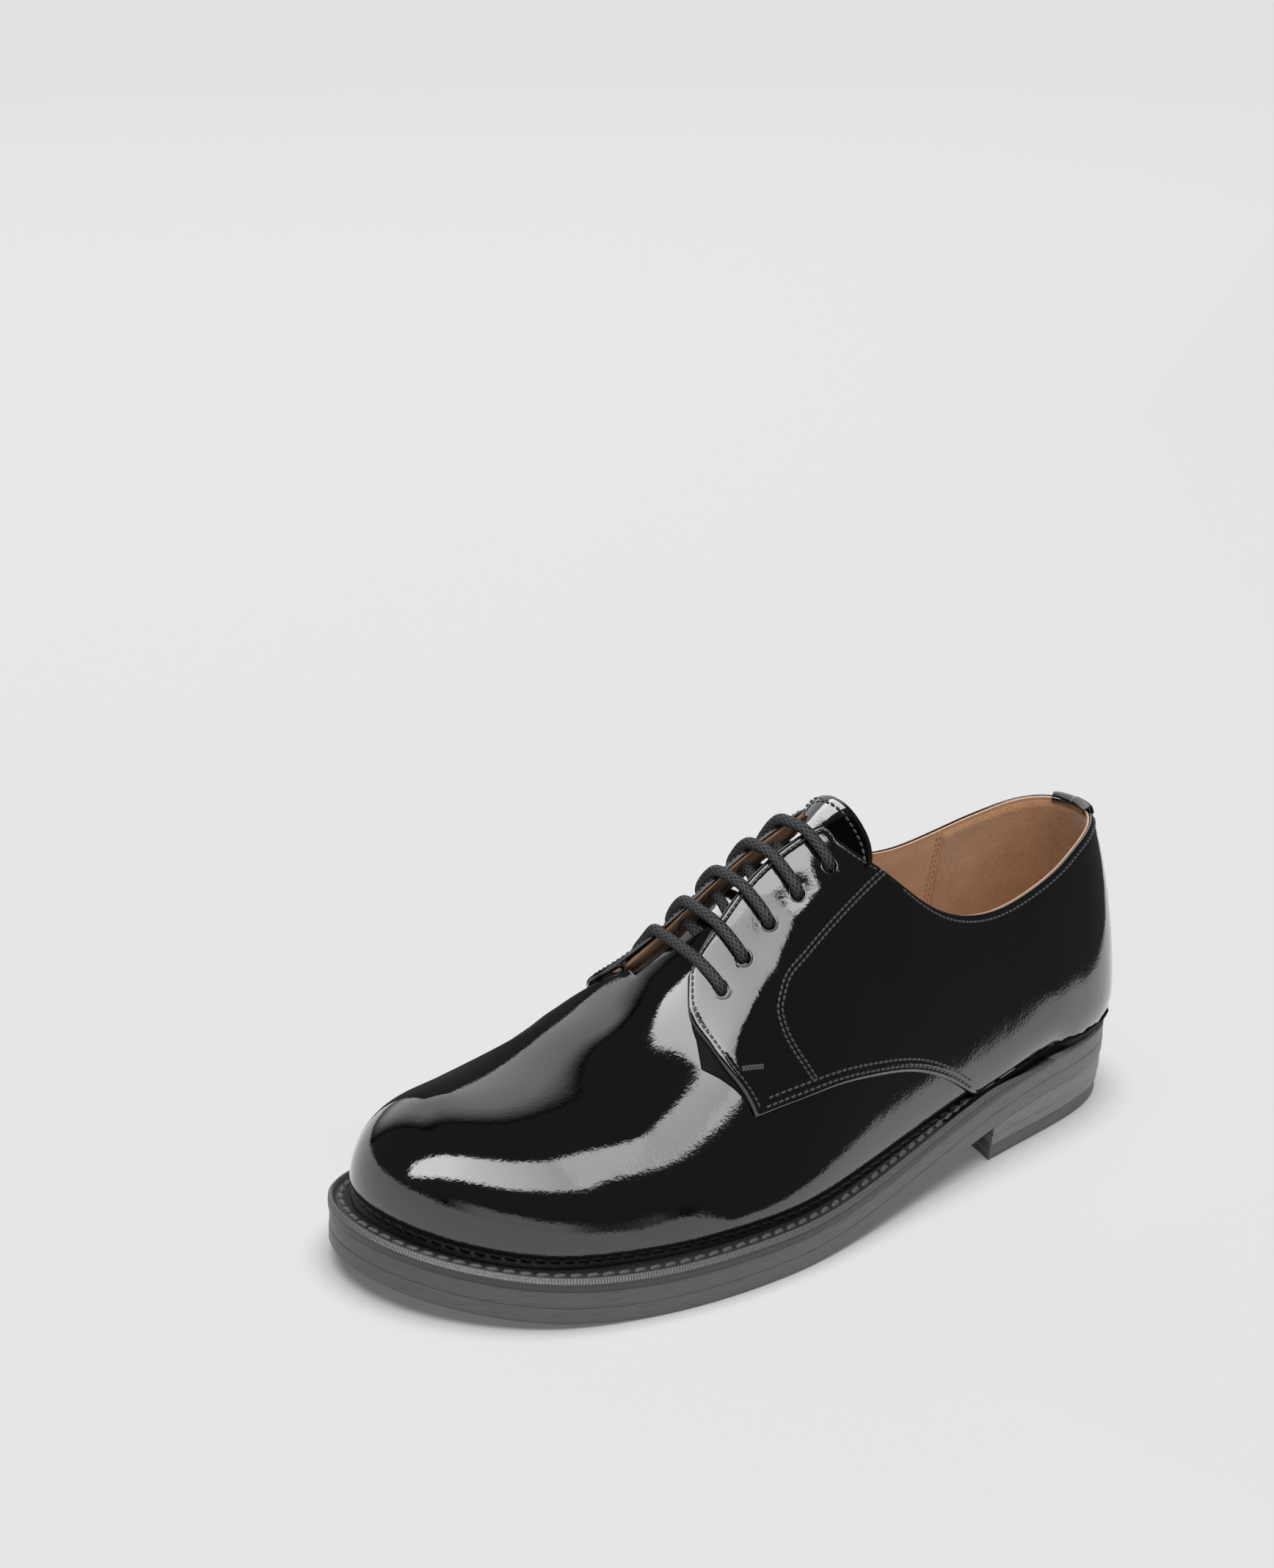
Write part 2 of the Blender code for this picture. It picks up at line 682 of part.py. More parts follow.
def lace_path(n):
    """Middle line of one bar: up out of a hole, across both facings and down the other hole."""
    clear = QUARTER_RAISE + 2 * GAP + 0.5 * LACE_DIAMETER
    sides = []
    for side in (1.0, -1.0):
        places = [(LACE_HOLE_SET_BACK, -0.4 * VAMP_WALL)]
        for angle in np.radians((0.0, 22.5, 45.0, 67.5, 90.0)):
            ahead = LACE_BEND * (1 - np.cos(angle))
            places.append((LACE_HOLE_SET_BACK - ahead, clear - LACE_BEND * (1 - np.sin(angle))))
        for share in (0.6, 0.3, 0.0):
            places.append((share * LACE_HOLE_SET_BACK, clear + LACE_EDGE_LIFT * (1 - share)))
        sides.append([on_last(*facing_place(n, side, back), lift) for back, lift in places])
    ends = np.array([sides[0][-1], sides[1][-1]])
    middle = ends.mean(axis=0) + np.array([0.0, 0.0, LACE_CROWN])
    return np.array(sides[0] + [middle] + sides[1][::-1])


def make_laces(parent):
    """One closed tube for each bar, clear of the tongue and of the holes' walls."""
    for n in range(LACE_HOLE_COUNT):
        path = lace_path(n)
        curve = bpy.data.curves.new(f"lace_bar_{n + 1}", "CURVE")
        curve.dimensions = "3D"
        curve.bevel_depth = 0.5 * LACE_DIAMETER * MM
        curve.bevel_resolution = 2
        curve.use_fill_caps = True
        line = curve.splines.new("POLY")
        line.points.add(len(path) - 1)
        for point, place in zip(line.points, path):
            point.co = (*(place * MM), 1.0)
        curve.materials.append(bpy.data.materials.get("lace_cord") or material("lace_cord"))
        bar = bpy.data.objects.new(curve.name, curve)
        bpy.context.collection.objects.link(bar)
        bar.parent = parent


def make_back_strap(parent):
    """Narrow strip that covers the seam at the back of the heel."""
    half = STRAP_HALF_WIDTH / (2 * SOLE_LENGTH + 100) * 2
    across = np.linspace(-half, half, 7)
    top = reach_height(across, topline_outer)
    up = np.linspace(0.03, 1.0, 12)
    v = np.tile(across, (len(up), 1))
    s = up[:, None] * top
    base = QUARTER_RAISE + GAP
    outer = on_last(v, s, np.full_like(s, base + STRAP_WALL))
    inner = on_last(v, s, np.full_like(s, base))
    points, faces = shell(outer, inner)
    return solid("back_strap", points, faces, "patent_leather", parent)


def centre(parent):
    """Moves the whole shoe so that the middle of its box stands over the origin."""
    bpy.context.view_layer.update()
    corners = []
    for item in parent.children:
        if item.type == "MESH" and not item.hide_render:
            corners += [vertex.co for vertex in item.data.vertices]
    corners = np.array(corners)
    middle = 0.5 * (corners.min(axis=0) + corners.max(axis=0))
    parent.location = (-middle[0], -middle[1], 0.0)


def main():
    clear_scene()
    shoe = bpy.data.objects.new("shoe", None)
    bpy.context.collection.objects.link(shoe)
    make_soles(shoe)
    make_welt(shoe)
    make_insole(shoe)
    upper = make_upper(shoe)
    cut_lace_holes(upper, shoe)
    make_tongue(shoe)
    make_laces(shoe)
    make_back_strap(shoe)
    centre(shoe)


main()
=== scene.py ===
import math

import bpy
import numpy as np
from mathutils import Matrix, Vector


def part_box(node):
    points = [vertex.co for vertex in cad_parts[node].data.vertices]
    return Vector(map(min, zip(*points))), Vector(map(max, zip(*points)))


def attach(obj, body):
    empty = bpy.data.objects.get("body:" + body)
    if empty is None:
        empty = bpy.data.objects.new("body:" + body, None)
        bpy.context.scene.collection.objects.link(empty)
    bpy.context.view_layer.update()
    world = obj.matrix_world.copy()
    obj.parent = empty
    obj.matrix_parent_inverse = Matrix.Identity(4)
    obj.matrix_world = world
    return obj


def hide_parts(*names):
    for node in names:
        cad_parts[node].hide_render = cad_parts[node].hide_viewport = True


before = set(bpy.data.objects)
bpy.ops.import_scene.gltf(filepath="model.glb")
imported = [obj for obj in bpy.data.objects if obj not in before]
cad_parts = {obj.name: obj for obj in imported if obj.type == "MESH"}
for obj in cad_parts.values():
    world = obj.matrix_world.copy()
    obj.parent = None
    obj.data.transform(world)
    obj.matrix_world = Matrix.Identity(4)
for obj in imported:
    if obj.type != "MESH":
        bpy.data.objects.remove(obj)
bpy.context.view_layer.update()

# Last of the shoe: the same tables as the solids, in millimetres from the back of the sole.
lastShape = {
    "length": 289.5,
    "toeY": -10.0,
    "heelY": 1.0,
    "outsole": 5.2,
    "midsole": 5.2,
    "gap": 0.3,
    "heelRise": 15.0,
    "archFrom": 38.0,
    "treadFrom": 176.0,
    "treadTo": 214.0,
    "toeSpring": 6.5,
    "welt": 3.2,
    "weltEnd": 46.0,
    "weltRise": 14.0,
    "tuckToe": 1.3,
    "tuckHeel": 3.8,
    "tuckHeight": 15.0,
    "tuckFrom": 78.0,
    "tuckTo": 40.0,
    "quarterFront": 193.0,
    "innerAhead": 8.0,
}
outline = np.array([
    (4, 15.5, -13.5), (14, 25.5, -22.5), (30, 32, -27.5), (50, 36, -29), (74, 40, -28), (98, 44.5, -26),
    (122, 49.5, -26.5), (146, 54.5, -31), (170, 58, -38), (192, 58.5, -43.5), (214, 56.5, -47), (234, 52, -48),
    (254, 44, -46), (270, 31.5, -41.5), (281, 17.5, -34), (287, 4.5, -24.5),
])
last = np.array([
    (0, 126, 1, -0.8, 1.8, 1.75), (30, 128, 2.5, 0.2, 1.8, 1.65), (60, 130, 5, 1.4, 1.9, 1.5),
    (90, 130, 6.5, 2.6, 2, 1.42), (115, 127.5, 6.5, 3.4, 2, 1.45), (137, 121.5, 6, 4, 2, 1.5),
    (160, 111.5, 5, 4.4, 2, 1.55), (185, 94.5, 3.5, 5, 2, 1.62), (205, 77, 2, 5.3, 2.1, 1.75),
    (225, 64.5, 0, 5.4, 2.2, 1.95), (245, 58.5, -2, 5.4, 2.2, 2.15), (262, 57, -5, 5.4, 2.2, 2.3),
    (276, 56, -7, 5.4, 2.2, 2.35), (289.5, 52, -9, 5.4, 2.2, 2.35),
])
ridgeReachTable = np.array([
    (0, 36), (20, 42), (50, 58), (80, 82), (110, 110), (170, 170), (205, 204), (230, 225), (255, 242),
    (275, 253), (289.5, 258),
])
toplineTable = np.array([
    (-4, 98.5, 98.5), (6, 98, 98), (16, 97.5, 97), (28, 95, 94.5), (45, 89.5, 91), (60, 86, 89), (74, 84.5, 88.5),
    (88, 86, 90.5), (102, 91.5, 96), (114, 100.5, 104.5), (122, 108, 111), (130, 115, 117), (136, 121.5, 123),
    (144, 134, 135),
])
seamTable = np.array([
    (60, 1), (72, 12.5), (84, 23.5), (98, 34.6), (117, 44.6), (137, 49.6), (153, 51.6), (167, 51.1), (186, 49.6),
    (200, 48.6),
])
frontTable = np.array([(0, -13), (0.17, -11), (0.28, -6), (0.4, -2.5), (0.57, 0), (0.66, -2.5), (0.75, -6)])
outerThroat = np.array([(110, 9), (130, 7), (150, 6.2), (165, 8), (177, 11), (186, 14), (193, 17), (205, 21)])
innerThroat = np.array([
    (110, 3), (130, 1.5), (146, 0.6), (160, 0.5), (176, 0.8), (182, 2), (188, 5), (194, 10), (205, 19),
])
tongueTable = np.array([(110, 25), (130, 27), (160, 29), (190, 30), (220, 26)])


def spline(knots, values, period=0.0):
    # Cubic spline through a table, level beyond its ends.
    knots = np.asarray(knots, float)
    values = np.asarray(values, float)
    if period:
        knots = np.concatenate([knots - period, knots, knots + period])
        values = np.concatenate([values, values, values])
    step = np.diff(knots)
    rise = np.diff(values) / step
    count = len(knots)
    system = np.eye(count)
    target = np.zeros(count)
    for i in range(1, count - 1):
        system[i, i - 1 : i + 2] = step[i - 1], 2 * (step[i - 1] + step[i]), step[i]
        target[i] = 6 * (rise[i] - rise[i - 1])
    bend = np.linalg.solve(system, target)

    def at(x):
        x = np.clip(np.asarray(x, float), knots[0], knots[-1])
        i = np.clip(np.searchsorted(knots, x) - 1, 0, count - 2)
        t = x - knots[i]
        slope = rise[i] - step[i] * (2 * bend[i] + bend[i + 1]) / 6
        return values[i] + t * (slope + t * (bend[i] / 2 + t * (bend[i + 1] - bend[i]) / (6 * step[i])))

    return at


def ease(x, start, end):
    t = np.clip((np.asarray(x, float) - start) / (end - start), 0.0, 1.0)
    return t * t * (3 - 2 * t)


def rounded(gap):
    # Quarter circle from an edge up to full height.
    return np.sqrt(1 - (1 - np.clip(gap, 0, 1)) ** 2)


def pathRun(points):
    # Length so far along a path.
    return np.concatenate([[0.0], np.cumsum(np.linalg.norm(np.diff(points, axis=0), axis=1))])


def pointsAt(at, run, points):
    return np.column_stack([np.interp(at, run, points[:, i]) for i in range(3)])


def outlineCurve():
    back = [(0.0, lastShape["heelY"])]
    tip = [(lastShape["length"], lastShape["toeY"])]
    outer = back + [(x, y) for x, y, z in outline] + tip
    inner = back + [(x, z) for x, y, z in outline] + tip
    places = []
    points = []
    for half, start in ((outer, 0.0), (inner[::-1], 1.0)):
        runs = np.hypot(*np.diff(np.array(half), axis=0).T)
        along = np.concatenate([[0.0], np.cumsum(runs)]) / runs.sum()
        places += list(start + along[:-1])
        points += half[:-1]
    points = np.array(points)
    return spline(places, points[:, 0], 2.0), spline(places, points[:, 1], 2.0)


outlineX, outlineY = outlineCurve()
ridgeZ, ridgeY, wallInset, ridgeRound, wallFull = [spline(last[:, 0], last[:, i]) for i in range(1, 6)]
ridgeReach = spline(*ridgeReachTable.T)
topline = {1: spline(toplineTable[:, 0], toplineTable[:, 1]), -1: spline(toplineTable[:, 0], toplineTable[:, 2])}
seamHeight = spline(*seamTable.T)
frontOffset = spline(*frontTable.T)
throatHalf = {1: spline(*outerThroat.T), -1: spline(*innerThroat.T)}
tongueHalf = spline(*tongueTable.T)


def outlinePoint(v, inset=0.0):
    v = np.mod(np.asarray(v, float), 2.0)
    dx = outlineX(v + 1e-4) - outlineX(v - 1e-4)
    dy = outlineY(v + 1e-4) - outlineY(v - 1e-4)
    length = np.hypot(dx, dy)
    return outlineX(v) + dy / length * inset, outlineY(v) - dx / length * inset, dy / length, -dx / length


def soleBottom(x):
    shape = lastShape
    ahead = np.clip((np.asarray(x, float) - shape["treadTo"]) / (shape["length"] - shape["treadTo"]), 0.0, None)
    return shape["heelRise"] * ease(x, shape["treadFrom"], shape["archFrom"]) + shape["toeSpring"] * ahead**2


def midsoleTop(x):
    return soleBottom(x) + lastShape["outsole"] + lastShape["gap"] + lastShape["midsole"]


def featherHeight(x):
    onWelt = ease(x, lastShape["weltEnd"] - lastShape["weltRise"], lastShape["weltEnd"])
    return midsoleTop(x) + lastShape["gap"] + (lastShape["welt"] + lastShape["gap"]) * onWelt


def meanStation(v):
    v = np.asarray(v, float)
    return 0.5 * (outlineX(np.mod(v, 2.0)) + outlineX(np.mod(-v, 2.0)))


def tuckAt(x):
    shape = lastShape
    share = ease(x, shape["tuckFrom"], shape["tuckTo"])
    return shape["tuckToe"] + (shape["tuckHeel"] - shape["tuckToe"]) * share


def lastPoint(v, s):
    # v runs round the sole from the heel, s from the feather edge up to the ridge.
    v, s = np.broadcast_arrays(np.asarray(v, float), np.asarray(s, float))
    station = meanStation(v)
    startX, startY, normalX, normalY = outlinePoint(v, wallInset(station))
    endX = ridgeReach(station)
    x = startX + (endX - startX) * s
    y = startY + (ridgeY(endX) - startY) * s
    base = featherHeight(x)
    rise = (1 - (1 - s) ** ridgeRound(x)) ** (1 / wallFull(x))
    z = base + (ridgeZ(x) - base) * rise
    tuck = tuckAt(station) * np.clip(1 - (z - base) / lastShape["tuckHeight"], 0.0, 1.0) ** 3
    return np.stack([x + normalX * tuck, y + normalY * tuck, z], axis=-1)


def lastNormal(v, s):
    step = 1e-3
    low = np.clip(np.asarray(s, float) - step, 1e-5, 1 - 2 * step)
    along = lastPoint(v + step, low + step) - lastPoint(v - step, low + step)
    normal = np.cross(lastPoint(v, low + 2 * step) - lastPoint(v, low), along)
    return normal / np.linalg.norm(normal, axis=-1, keepdims=True)


# Soft troughs and flats of the leather: flat facings beside the throat, then dents and creases.
flatFacing = {
    "backTilt": 0.27, "frontTilt": 0.1, "innerTilt": 0.32, "tiltOver": (165, 188),
    "backWidth": 18.0, "frontWidth": 27.5, "widthOver": (140, 180),
    "rise": 0.11, "bend": 0.035, "bendReach": 12.0,
    "fadeDown": (6, 60), "fadeBack": (112, 130), "fadeFront": (200, 184),
}
creases = [
    {"from": (214.6, 22.6, 65.0), "to": (201.4, 25.9, 71.7), "width": 18.0, "depth": 4.4, "rim": 0.0},
    {"from": (227.4, 43.3, 36.6), "to": (192.0, 40.5, 60.3), "width": 25.0, "depth": 3.0, "rim": 0.0},
    {"from": (189.0, -9.0, 90.0), "to": (205.0, -5.0, 76.0), "width": 13.0, "depth": 2.6, "rim": 0.0},
    {"from": (243.0, -36.0, 44.0), "to": (219.0, -24.0, 62.0), "width": 4.5, "depth": 0.9, "rim": 0.3},
    {"from": (236.0, -42.0, 38.0), "to": (209.0, -30.0, 64.0), "width": 5.0, "depth": 0.8, "rim": 0.3},
]


def planReach(v):
    v = np.asarray(v, float)
    gap = lastPoint(v, np.full_like(v, 0.6)) - lastPoint(v, np.ones_like(v))
    return np.hypot(gap[..., 0], gap[..., 1]) / 0.4


def throatEdge(v):
    # Fullness at the facing's edge, nearer to the ridge on the inner side.
    station = meanStation(v)
    half = np.where(np.mod(v, 2.0) <= 1.0, throatHalf[1](station), throatHalf[-1](station))
    return 1 - half / planReach(v)


def leatherOffset(v, s, points):
    look = flatFacing
    inner = np.mod(v, 2.0) > 1.0
    station = meanStation(v) - lastShape["innerAhead"] * inner
    edge = throatEdge(v)
    gap = np.linalg.norm(points - lastPoint(v, edge), axis=-1) * np.sign(edge - s)
    # The facing is flat as far as the lace holes, then bends down to the plain wall.
    width = look["backWidth"] + (look["frontWidth"] - look["backWidth"]) * ease(station, *look["widthOver"])
    tilt = look["backTilt"] + (look["frontTilt"] - look["backTilt"]) * ease(station, *look["tiltOver"])
    tilt = tilt + look["innerTilt"] * inner
    flat = np.clip(gap, 0, width)
    beyond = np.maximum(gap - width, 0)
    facing = -tilt * flat + 0.5 * (tilt + look["rise"]) * flat**2 / width
    facing = facing - look["bendReach"] * look["bend"] * (1 - np.exp(-beyond / look["bendReach"]))
    offset = facing * (1 - ease(beyond, *look["fadeDown"]))
    offset = offset * ease(station, *look["fadeBack"]) * ease(station, *look["fadeFront"])
    for crease in creases:
        start, end = np.array(crease["from"], float), np.array(crease["to"], float)
        along = np.clip(((points - start) @ (end - start)) / ((end - start) @ (end - start)), 0, 1)
        near = np.linalg.norm(points - (start + along[..., None] * (end - start)), axis=-1) / crease["width"]
        offset = offset - crease["depth"] * (np.exp(-(near**2)) - crease["rim"] * np.exp(-((near - 1.6) ** 2)))
    return offset


def onLast(v, s, offset=0.0):
    v, s, offset = np.broadcast_arrays(np.asarray(v, float), np.asarray(s, float), np.asarray(offset, float))
    points = lastPoint(v, s)
    points = points + lastNormal(v, s) * (offset + leatherOffset(v, s, points))[..., None]
    points[..., 2] = np.maximum(points[..., 2], featherHeight(points[..., 0]))
    return points


stationPlaces = np.linspace(0.0, 1.0, 2001)
stationValues = meanStation(stationPlaces)


def stationOf(x):
    return np.interp(x, stationValues, stationPlaces)


def reachHeight(v, heightAt):
    s = np.linspace(0.0, 1.0, 601)
    points = lastPoint(v[:, None], s[None, :])
    above = points[..., 2] - heightAt(points[..., 0])
    first = np.argmax(above >= 0, axis=1)
    first[(above < 0).all(axis=1)] = len(s) - 1
    rows = np.arange(len(v))
    before = np.maximum(first - 1, 0)
    low, high = above[rows, before], above[rows, first]
    part = np.where(high > low, np.clip(-low / np.where(high > low, high - low, 1), 0, 1), 1.0)
    return s[before] + (s[first] - s[before]) * part


def downWall(v, s, distance):
    samples = np.linspace(s, 0.0, 301)
    points = lastPoint(v, samples)
    return np.interp(distance, pathRun(points), samples)


# The frame's origin is under the middle of the shoe, so the last moves there.
outsoleLow = np.array(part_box("outsole")[0]) * 1000
roundOutline = outlineY(np.linspace(0, 2, 2001))
shift = np.array([outsoleLow[0], outsoleLow[1] - roundOutline.min(), 0.0])


def toFrame(points):
    return (np.asarray(points, float) + shift) * 0.001


def finishPiece(piece, material, nodes=()):
    piece.data.materials.append(material)
    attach(piece, "root")
    if nodes:
        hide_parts(*nodes)
    return piece


def gridPiece(name, points, fill=False, sharp=None):
    # A grid primitive whose points are laid out in rows, then closed where rows meet.
    rows, columns = points.shape[:2]
    bpy.ops.object.select_all(action="DESELECT")
    bpy.ops.mesh.primitive_grid_add(x_subdivisions=columns - 1, y_subdivisions=rows - 1, size=1.0)
    piece = bpy.context.object
    piece.name = name
    piece.data.name = name
    piece.location = (0, 0, 0)
    piece.data.vertices.foreach_set("co", toFrame(points).astype(np.float32).ravel())
    piece.data.update()
    bpy.ops.object.mode_set(mode="EDIT")
    bpy.ops.mesh.select_all(action="SELECT")
    bpy.ops.mesh.remove_doubles(threshold=8e-6)
    bpy.ops.mesh.dissolve_degenerate(threshold=1e-6)
    if fill:
        bpy.ops.mesh.select_all(action="SELECT")
        bpy.ops.mesh.fill_holes(sides=0)
    bpy.ops.mesh.select_all(action="SELECT")
    bpy.ops.mesh.normals_make_consistent(inside=False)
    bpy.ops.object.mode_set(mode="OBJECT")
    if sharp:
        bpy.ops.object.shade_smooth_by_angle(angle=math.radians(sharp))
    else:
        bpy.ops.object.shade_smooth()
    return piece


def sheet(front, back):
    # Rows round both faces of a sheet, back to the first row.
    return np.concatenate([front, back[::-1], front[:1]], axis=0)


def joinHalves(outerSide, innerSide):
    # One sheet from tab to tab, joined at the middle of the heel.
    middle = 0.5 * (outerSide[:, :1] + innerSide[:, :1])
    return np.concatenate([innerSide[:, :0:-1], middle, outerSide[:, 1:]], axis=1)


def joinParts(parts):
    bpy.ops.object.select_all(action="DESELECT")
    for part in parts:
        part.select_set(True)
    bpy.context.view_layer.objects.active = parts[0]
    bpy.ops.object.join()
    return bpy.context.object


def turnTo(normal):
    return (0, math.acos(normal[2]), math.atan2(normal[1], normal[0]))


# Materials
def colour(code):
    parts = [int(code[i : i + 2], 16) / 255 for i in (1, 3, 5)]
    return [p / 12.92 if p <= 0.04045 else ((p + 0.055) / 1.055) ** 2.4 for p in parts] + [1.0]


def addNode(tree, kind, inputs=None, **settings):
    made = tree.nodes.new(kind)
    for key, value in settings.items():
        setattr(made, key, value)
    for key, value in (inputs or {}).items():
        if isinstance(value, bpy.types.NodeSocket):
            tree.links.new(value, made.inputs[key])
        else:
            made.inputs[key].default_value = value
    return made


def newMaterial(name, values):
    made = bpy.data.materials.new(name)
    made.use_nodes = True
    tree = made.node_tree
    shader = tree.nodes["Principled BSDF"]
    for key, value in values.items():
        shader.inputs[key].default_value = value
    coords = addNode(tree, "ShaderNodeTexCoord")
    return made, tree, shader, coords


def maths(tree, kind, *values):
    return addNode(tree, "ShaderNodeMath", dict(enumerate(values)), operation=kind).outputs[0]


def mapRange(tree, value, low, high, toLow=0.0, toHigh=1.0, **settings):
    return addNode(tree, "ShaderNodeMapRange", {
        "Value": value, "From Min": low, "From Max": high, "To Min": toLow, "To Max": toHigh,
    }, **settings).outputs[0]


def mixColours(tree, factor, dark, code):
    tint = addNode(tree, "ShaderNodeMix", data_type="RGBA")
    tint.inputs["A"].default_value = colour(dark)
    tint.inputs["B"].default_value = colour(code)
    tree.links.new(factor, tint.inputs["Factor"])
    return tint.outputs["Result"]


def noise(tree, vector, size, detail=2.0, rough=0.5):
    return addNode(
        tree, "ShaderNodeTexNoise",
        {"Vector": vector, "Scale": 1000.0 / size, "Detail": detail, "Roughness": rough},
    ).outputs["Fac"]


def bump(tree, height, depth, normal=None):
    inputs = {"Height": height, "Distance": depth * 0.001, "Strength": 1.0}
    if normal:
        inputs["Normal"] = normal
    return addNode(tree, "ShaderNodeBump", inputs).outputs["Normal"]


patentLook = {"grain": 1.0, "grainDepth": 0.025, "wave": 7.0, "waveDepth": 0.05, "coatIndex": 1.7}


def makePatent():
    # Black patent leather: a thick gloss coat that mirrors the studio, with slightly crinkled edges.
    made, tree, shader, coords = newMaterial("patentLeather", {
        "Base Color": colour("#050506"), "Roughness": 0.07, "IOR": 1.5,
        "Coat Weight": 1.0, "Coat Roughness": 0.015, "Coat IOR": patentLook["coatIndex"],
    })
    place = coords.outputs["Object"]
    slow = bump(tree, noise(tree, place, patentLook["wave"], 2.0), patentLook["waveDepth"])
    fine = bump(tree, noise(tree, place, patentLook["grain"], 3.0, 0.55), patentLook["grainDepth"], slow)
    tree.links.new(fine, shader.inputs["Normal"])
    tree.links.new(fine, shader.inputs["Coat Normal"])
    return made


def makeGrained(name, code, dark, rough, size, depth, spread=0.25):
    # Matt leather: base colour with darker pores and a fine raised grain.
    made, tree, shader, coords = newMaterial(name, {"Roughness": rough})
    place = coords.outputs["Object"]
    pattern = noise(tree, place, size, 4.0, 0.6)
    mixed = maths(tree, "MULTIPLY_ADD", noise(tree, place, size * 14, 3.0), 0.3, pattern)
    ramp = mapRange(tree, mixed, 0.65 - spread, 0.65 + spread)
    tree.links.new(mixColours(tree, ramp, dark, code), shader.inputs["Base Color"])
    tree.links.new(bump(tree, pattern, depth), shader.inputs["Normal"])
    return made


def makeSuede():
    # Suede heel lining: a soft short nap, lighter where it is brushed.
    made = makeGrained("suedeLining", "#B98A62", "#86603F", 0.95, 0.55, 0.22, 0.22)
    shader = made.node_tree.nodes["Principled BSDF"]
    shader.inputs["Sheen Weight"].default_value = 0.35
    shader.inputs["Sheen Roughness"].default_value = 0.5
    return made


# Painted light: the sole edges are painted paler from toe to heel, standing in for the brighter light on the heel.
heelPaintedLight = {"toeX": 0.1, "heelX": -0.13, "paler": 1.5}


def makeSoleEdge(name, code, dark, rough):
    # Waxed sole edge: dull dark grey with fine scratches along it, and painted light that makes it paler towards
    # the heel.
    made, tree, shader, coords = newMaterial(name, {"Roughness": rough})
    place = coords.outputs["Object"]
    stretch = addNode(tree, "ShaderNodeMapping", {"Vector": place, "Scale": (0.06, 0.06, 1.0)})
    lines = noise(tree, stretch.outputs[0], 0.45, 3.0, 0.6)
    tint = mixColours(tree, mapRange(tree, lines, 0.34, 0.56), dark, code)
    apart = addNode(tree, "ShaderNodeSeparateXYZ", {"Vector": place})
    # Painted light: the colour is scaled up towards the heel.
    paintedPaler = mapRange(tree, apart.outputs["X"], heelPaintedLight["toeX"], heelPaintedLight["heelX"], 1.0, heelPaintedLight["paler"])
    pale = addNode(tree, "ShaderNodeVectorMath", {0: tint, "Scale": paintedPaler}, operation="SCALE")
    tree.links.new(pale.outputs[0], shader.inputs["Base Color"])
    cloud = noise(tree, place, 1.2, 3.0)
    tree.links.new(bump(tree, cloud, 0.05, bump(tree, lines, 0.05)), shader.inputs["Normal"])
    return made


def makeBraid(name, code, dark, around, along, depth, rough):
    # Braided cord: two sets of strands that cross, shaded darker in the valleys.
    made, tree, shader, coords = newMaterial(name, {"Roughness": rough})
    split = addNode(tree, "ShaderNodeSeparateXYZ", {"Vector": coords.outputs["UV"]})
    waves = []
    for sign in (1.0, -1.0):
        turn = maths(tree, "MULTIPLY", split.outputs["X"], around * 2 * math.pi)
        run = maths(tree, "MULTIPLY_ADD", split.outputs["Y"], sign * along * 2 * math.pi, turn)
        waves.append(maths(tree, "SINE", run))
    ramp = mapRange(tree, maths(tree, "MAXIMUM", *waves), -0.4, 1.0)
    tree.links.new(mixColours(tree, ramp, dark, code), shader.inputs["Base Color"])
    tree.links.new(bump(tree, ramp, depth), shader.inputs["Normal"])
    return made


def makeWeltLook(length, marks, rows):
    # Waxed welt: dull black with a burnished bead that carries the marks of the wheel; the bead is painted a paler
    # grey as a painted highlight.
    made, tree, shader, coords = newMaterial("weltLeather", {"Roughness": 0.34, "Specular IOR Level": 0.8})
    split = addNode(tree, "ShaderNodeSeparateXYZ", {"Vector": coords.outputs["UV"]})
    wave = maths(tree, "SINE", maths(tree, "MULTIPLY", split.outputs["X"], 2 * math.pi * length / marks))
    mixed = maths(tree, "MULTIPLY_ADD", wave, 0.35, noise(tree, coords.outputs["Object"], 0.6, 3.0))
    above = maths(tree, "GREATER_THAN", split.outputs["Y"], rows[0])
    below = maths(tree, "LESS_THAN", split.outputs["Y"], rows[1])
    bead = maths(tree, "MULTIPLY", above, below)
    # Painted highlight: the bead's band is painted paler grey than the rest of the welt.
    tree.links.new(mixColours(tree, bead, "#252526", "#4C4C4D"), shader.inputs["Base Color"])
    tree.links.new(bump(tree, mixed, 0.13), shader.inputs["Normal"])
    return made


def makeThread(name, code, rough):
    # Waxed sewing thread: a pale line with a soft sheen.
    made, tree, shader, coords = newMaterial(name, {
        "Base Color": colour(code), "Roughness": rough, "Sheen Weight": 0.2,
    })
    tree.links.new(bump(tree, noise(tree, coords.outputs["Object"], 0.4, 2.0), 0.06), shader.inputs["Normal"])
    return made


patent = makePatent()
tan = makeGrained("tanLining", "#BC977A", "#A88468", 0.5, 1.1, 0.05)
suede = makeSuede()
sock = makeGrained("sockLeather", "#F4CBA0", "#E0B488", 0.5, 0.9, 0.06)
soleEdge = makeSoleEdge("waxedSoleEdge", "#4D4D4E", "#434344", 0.4)
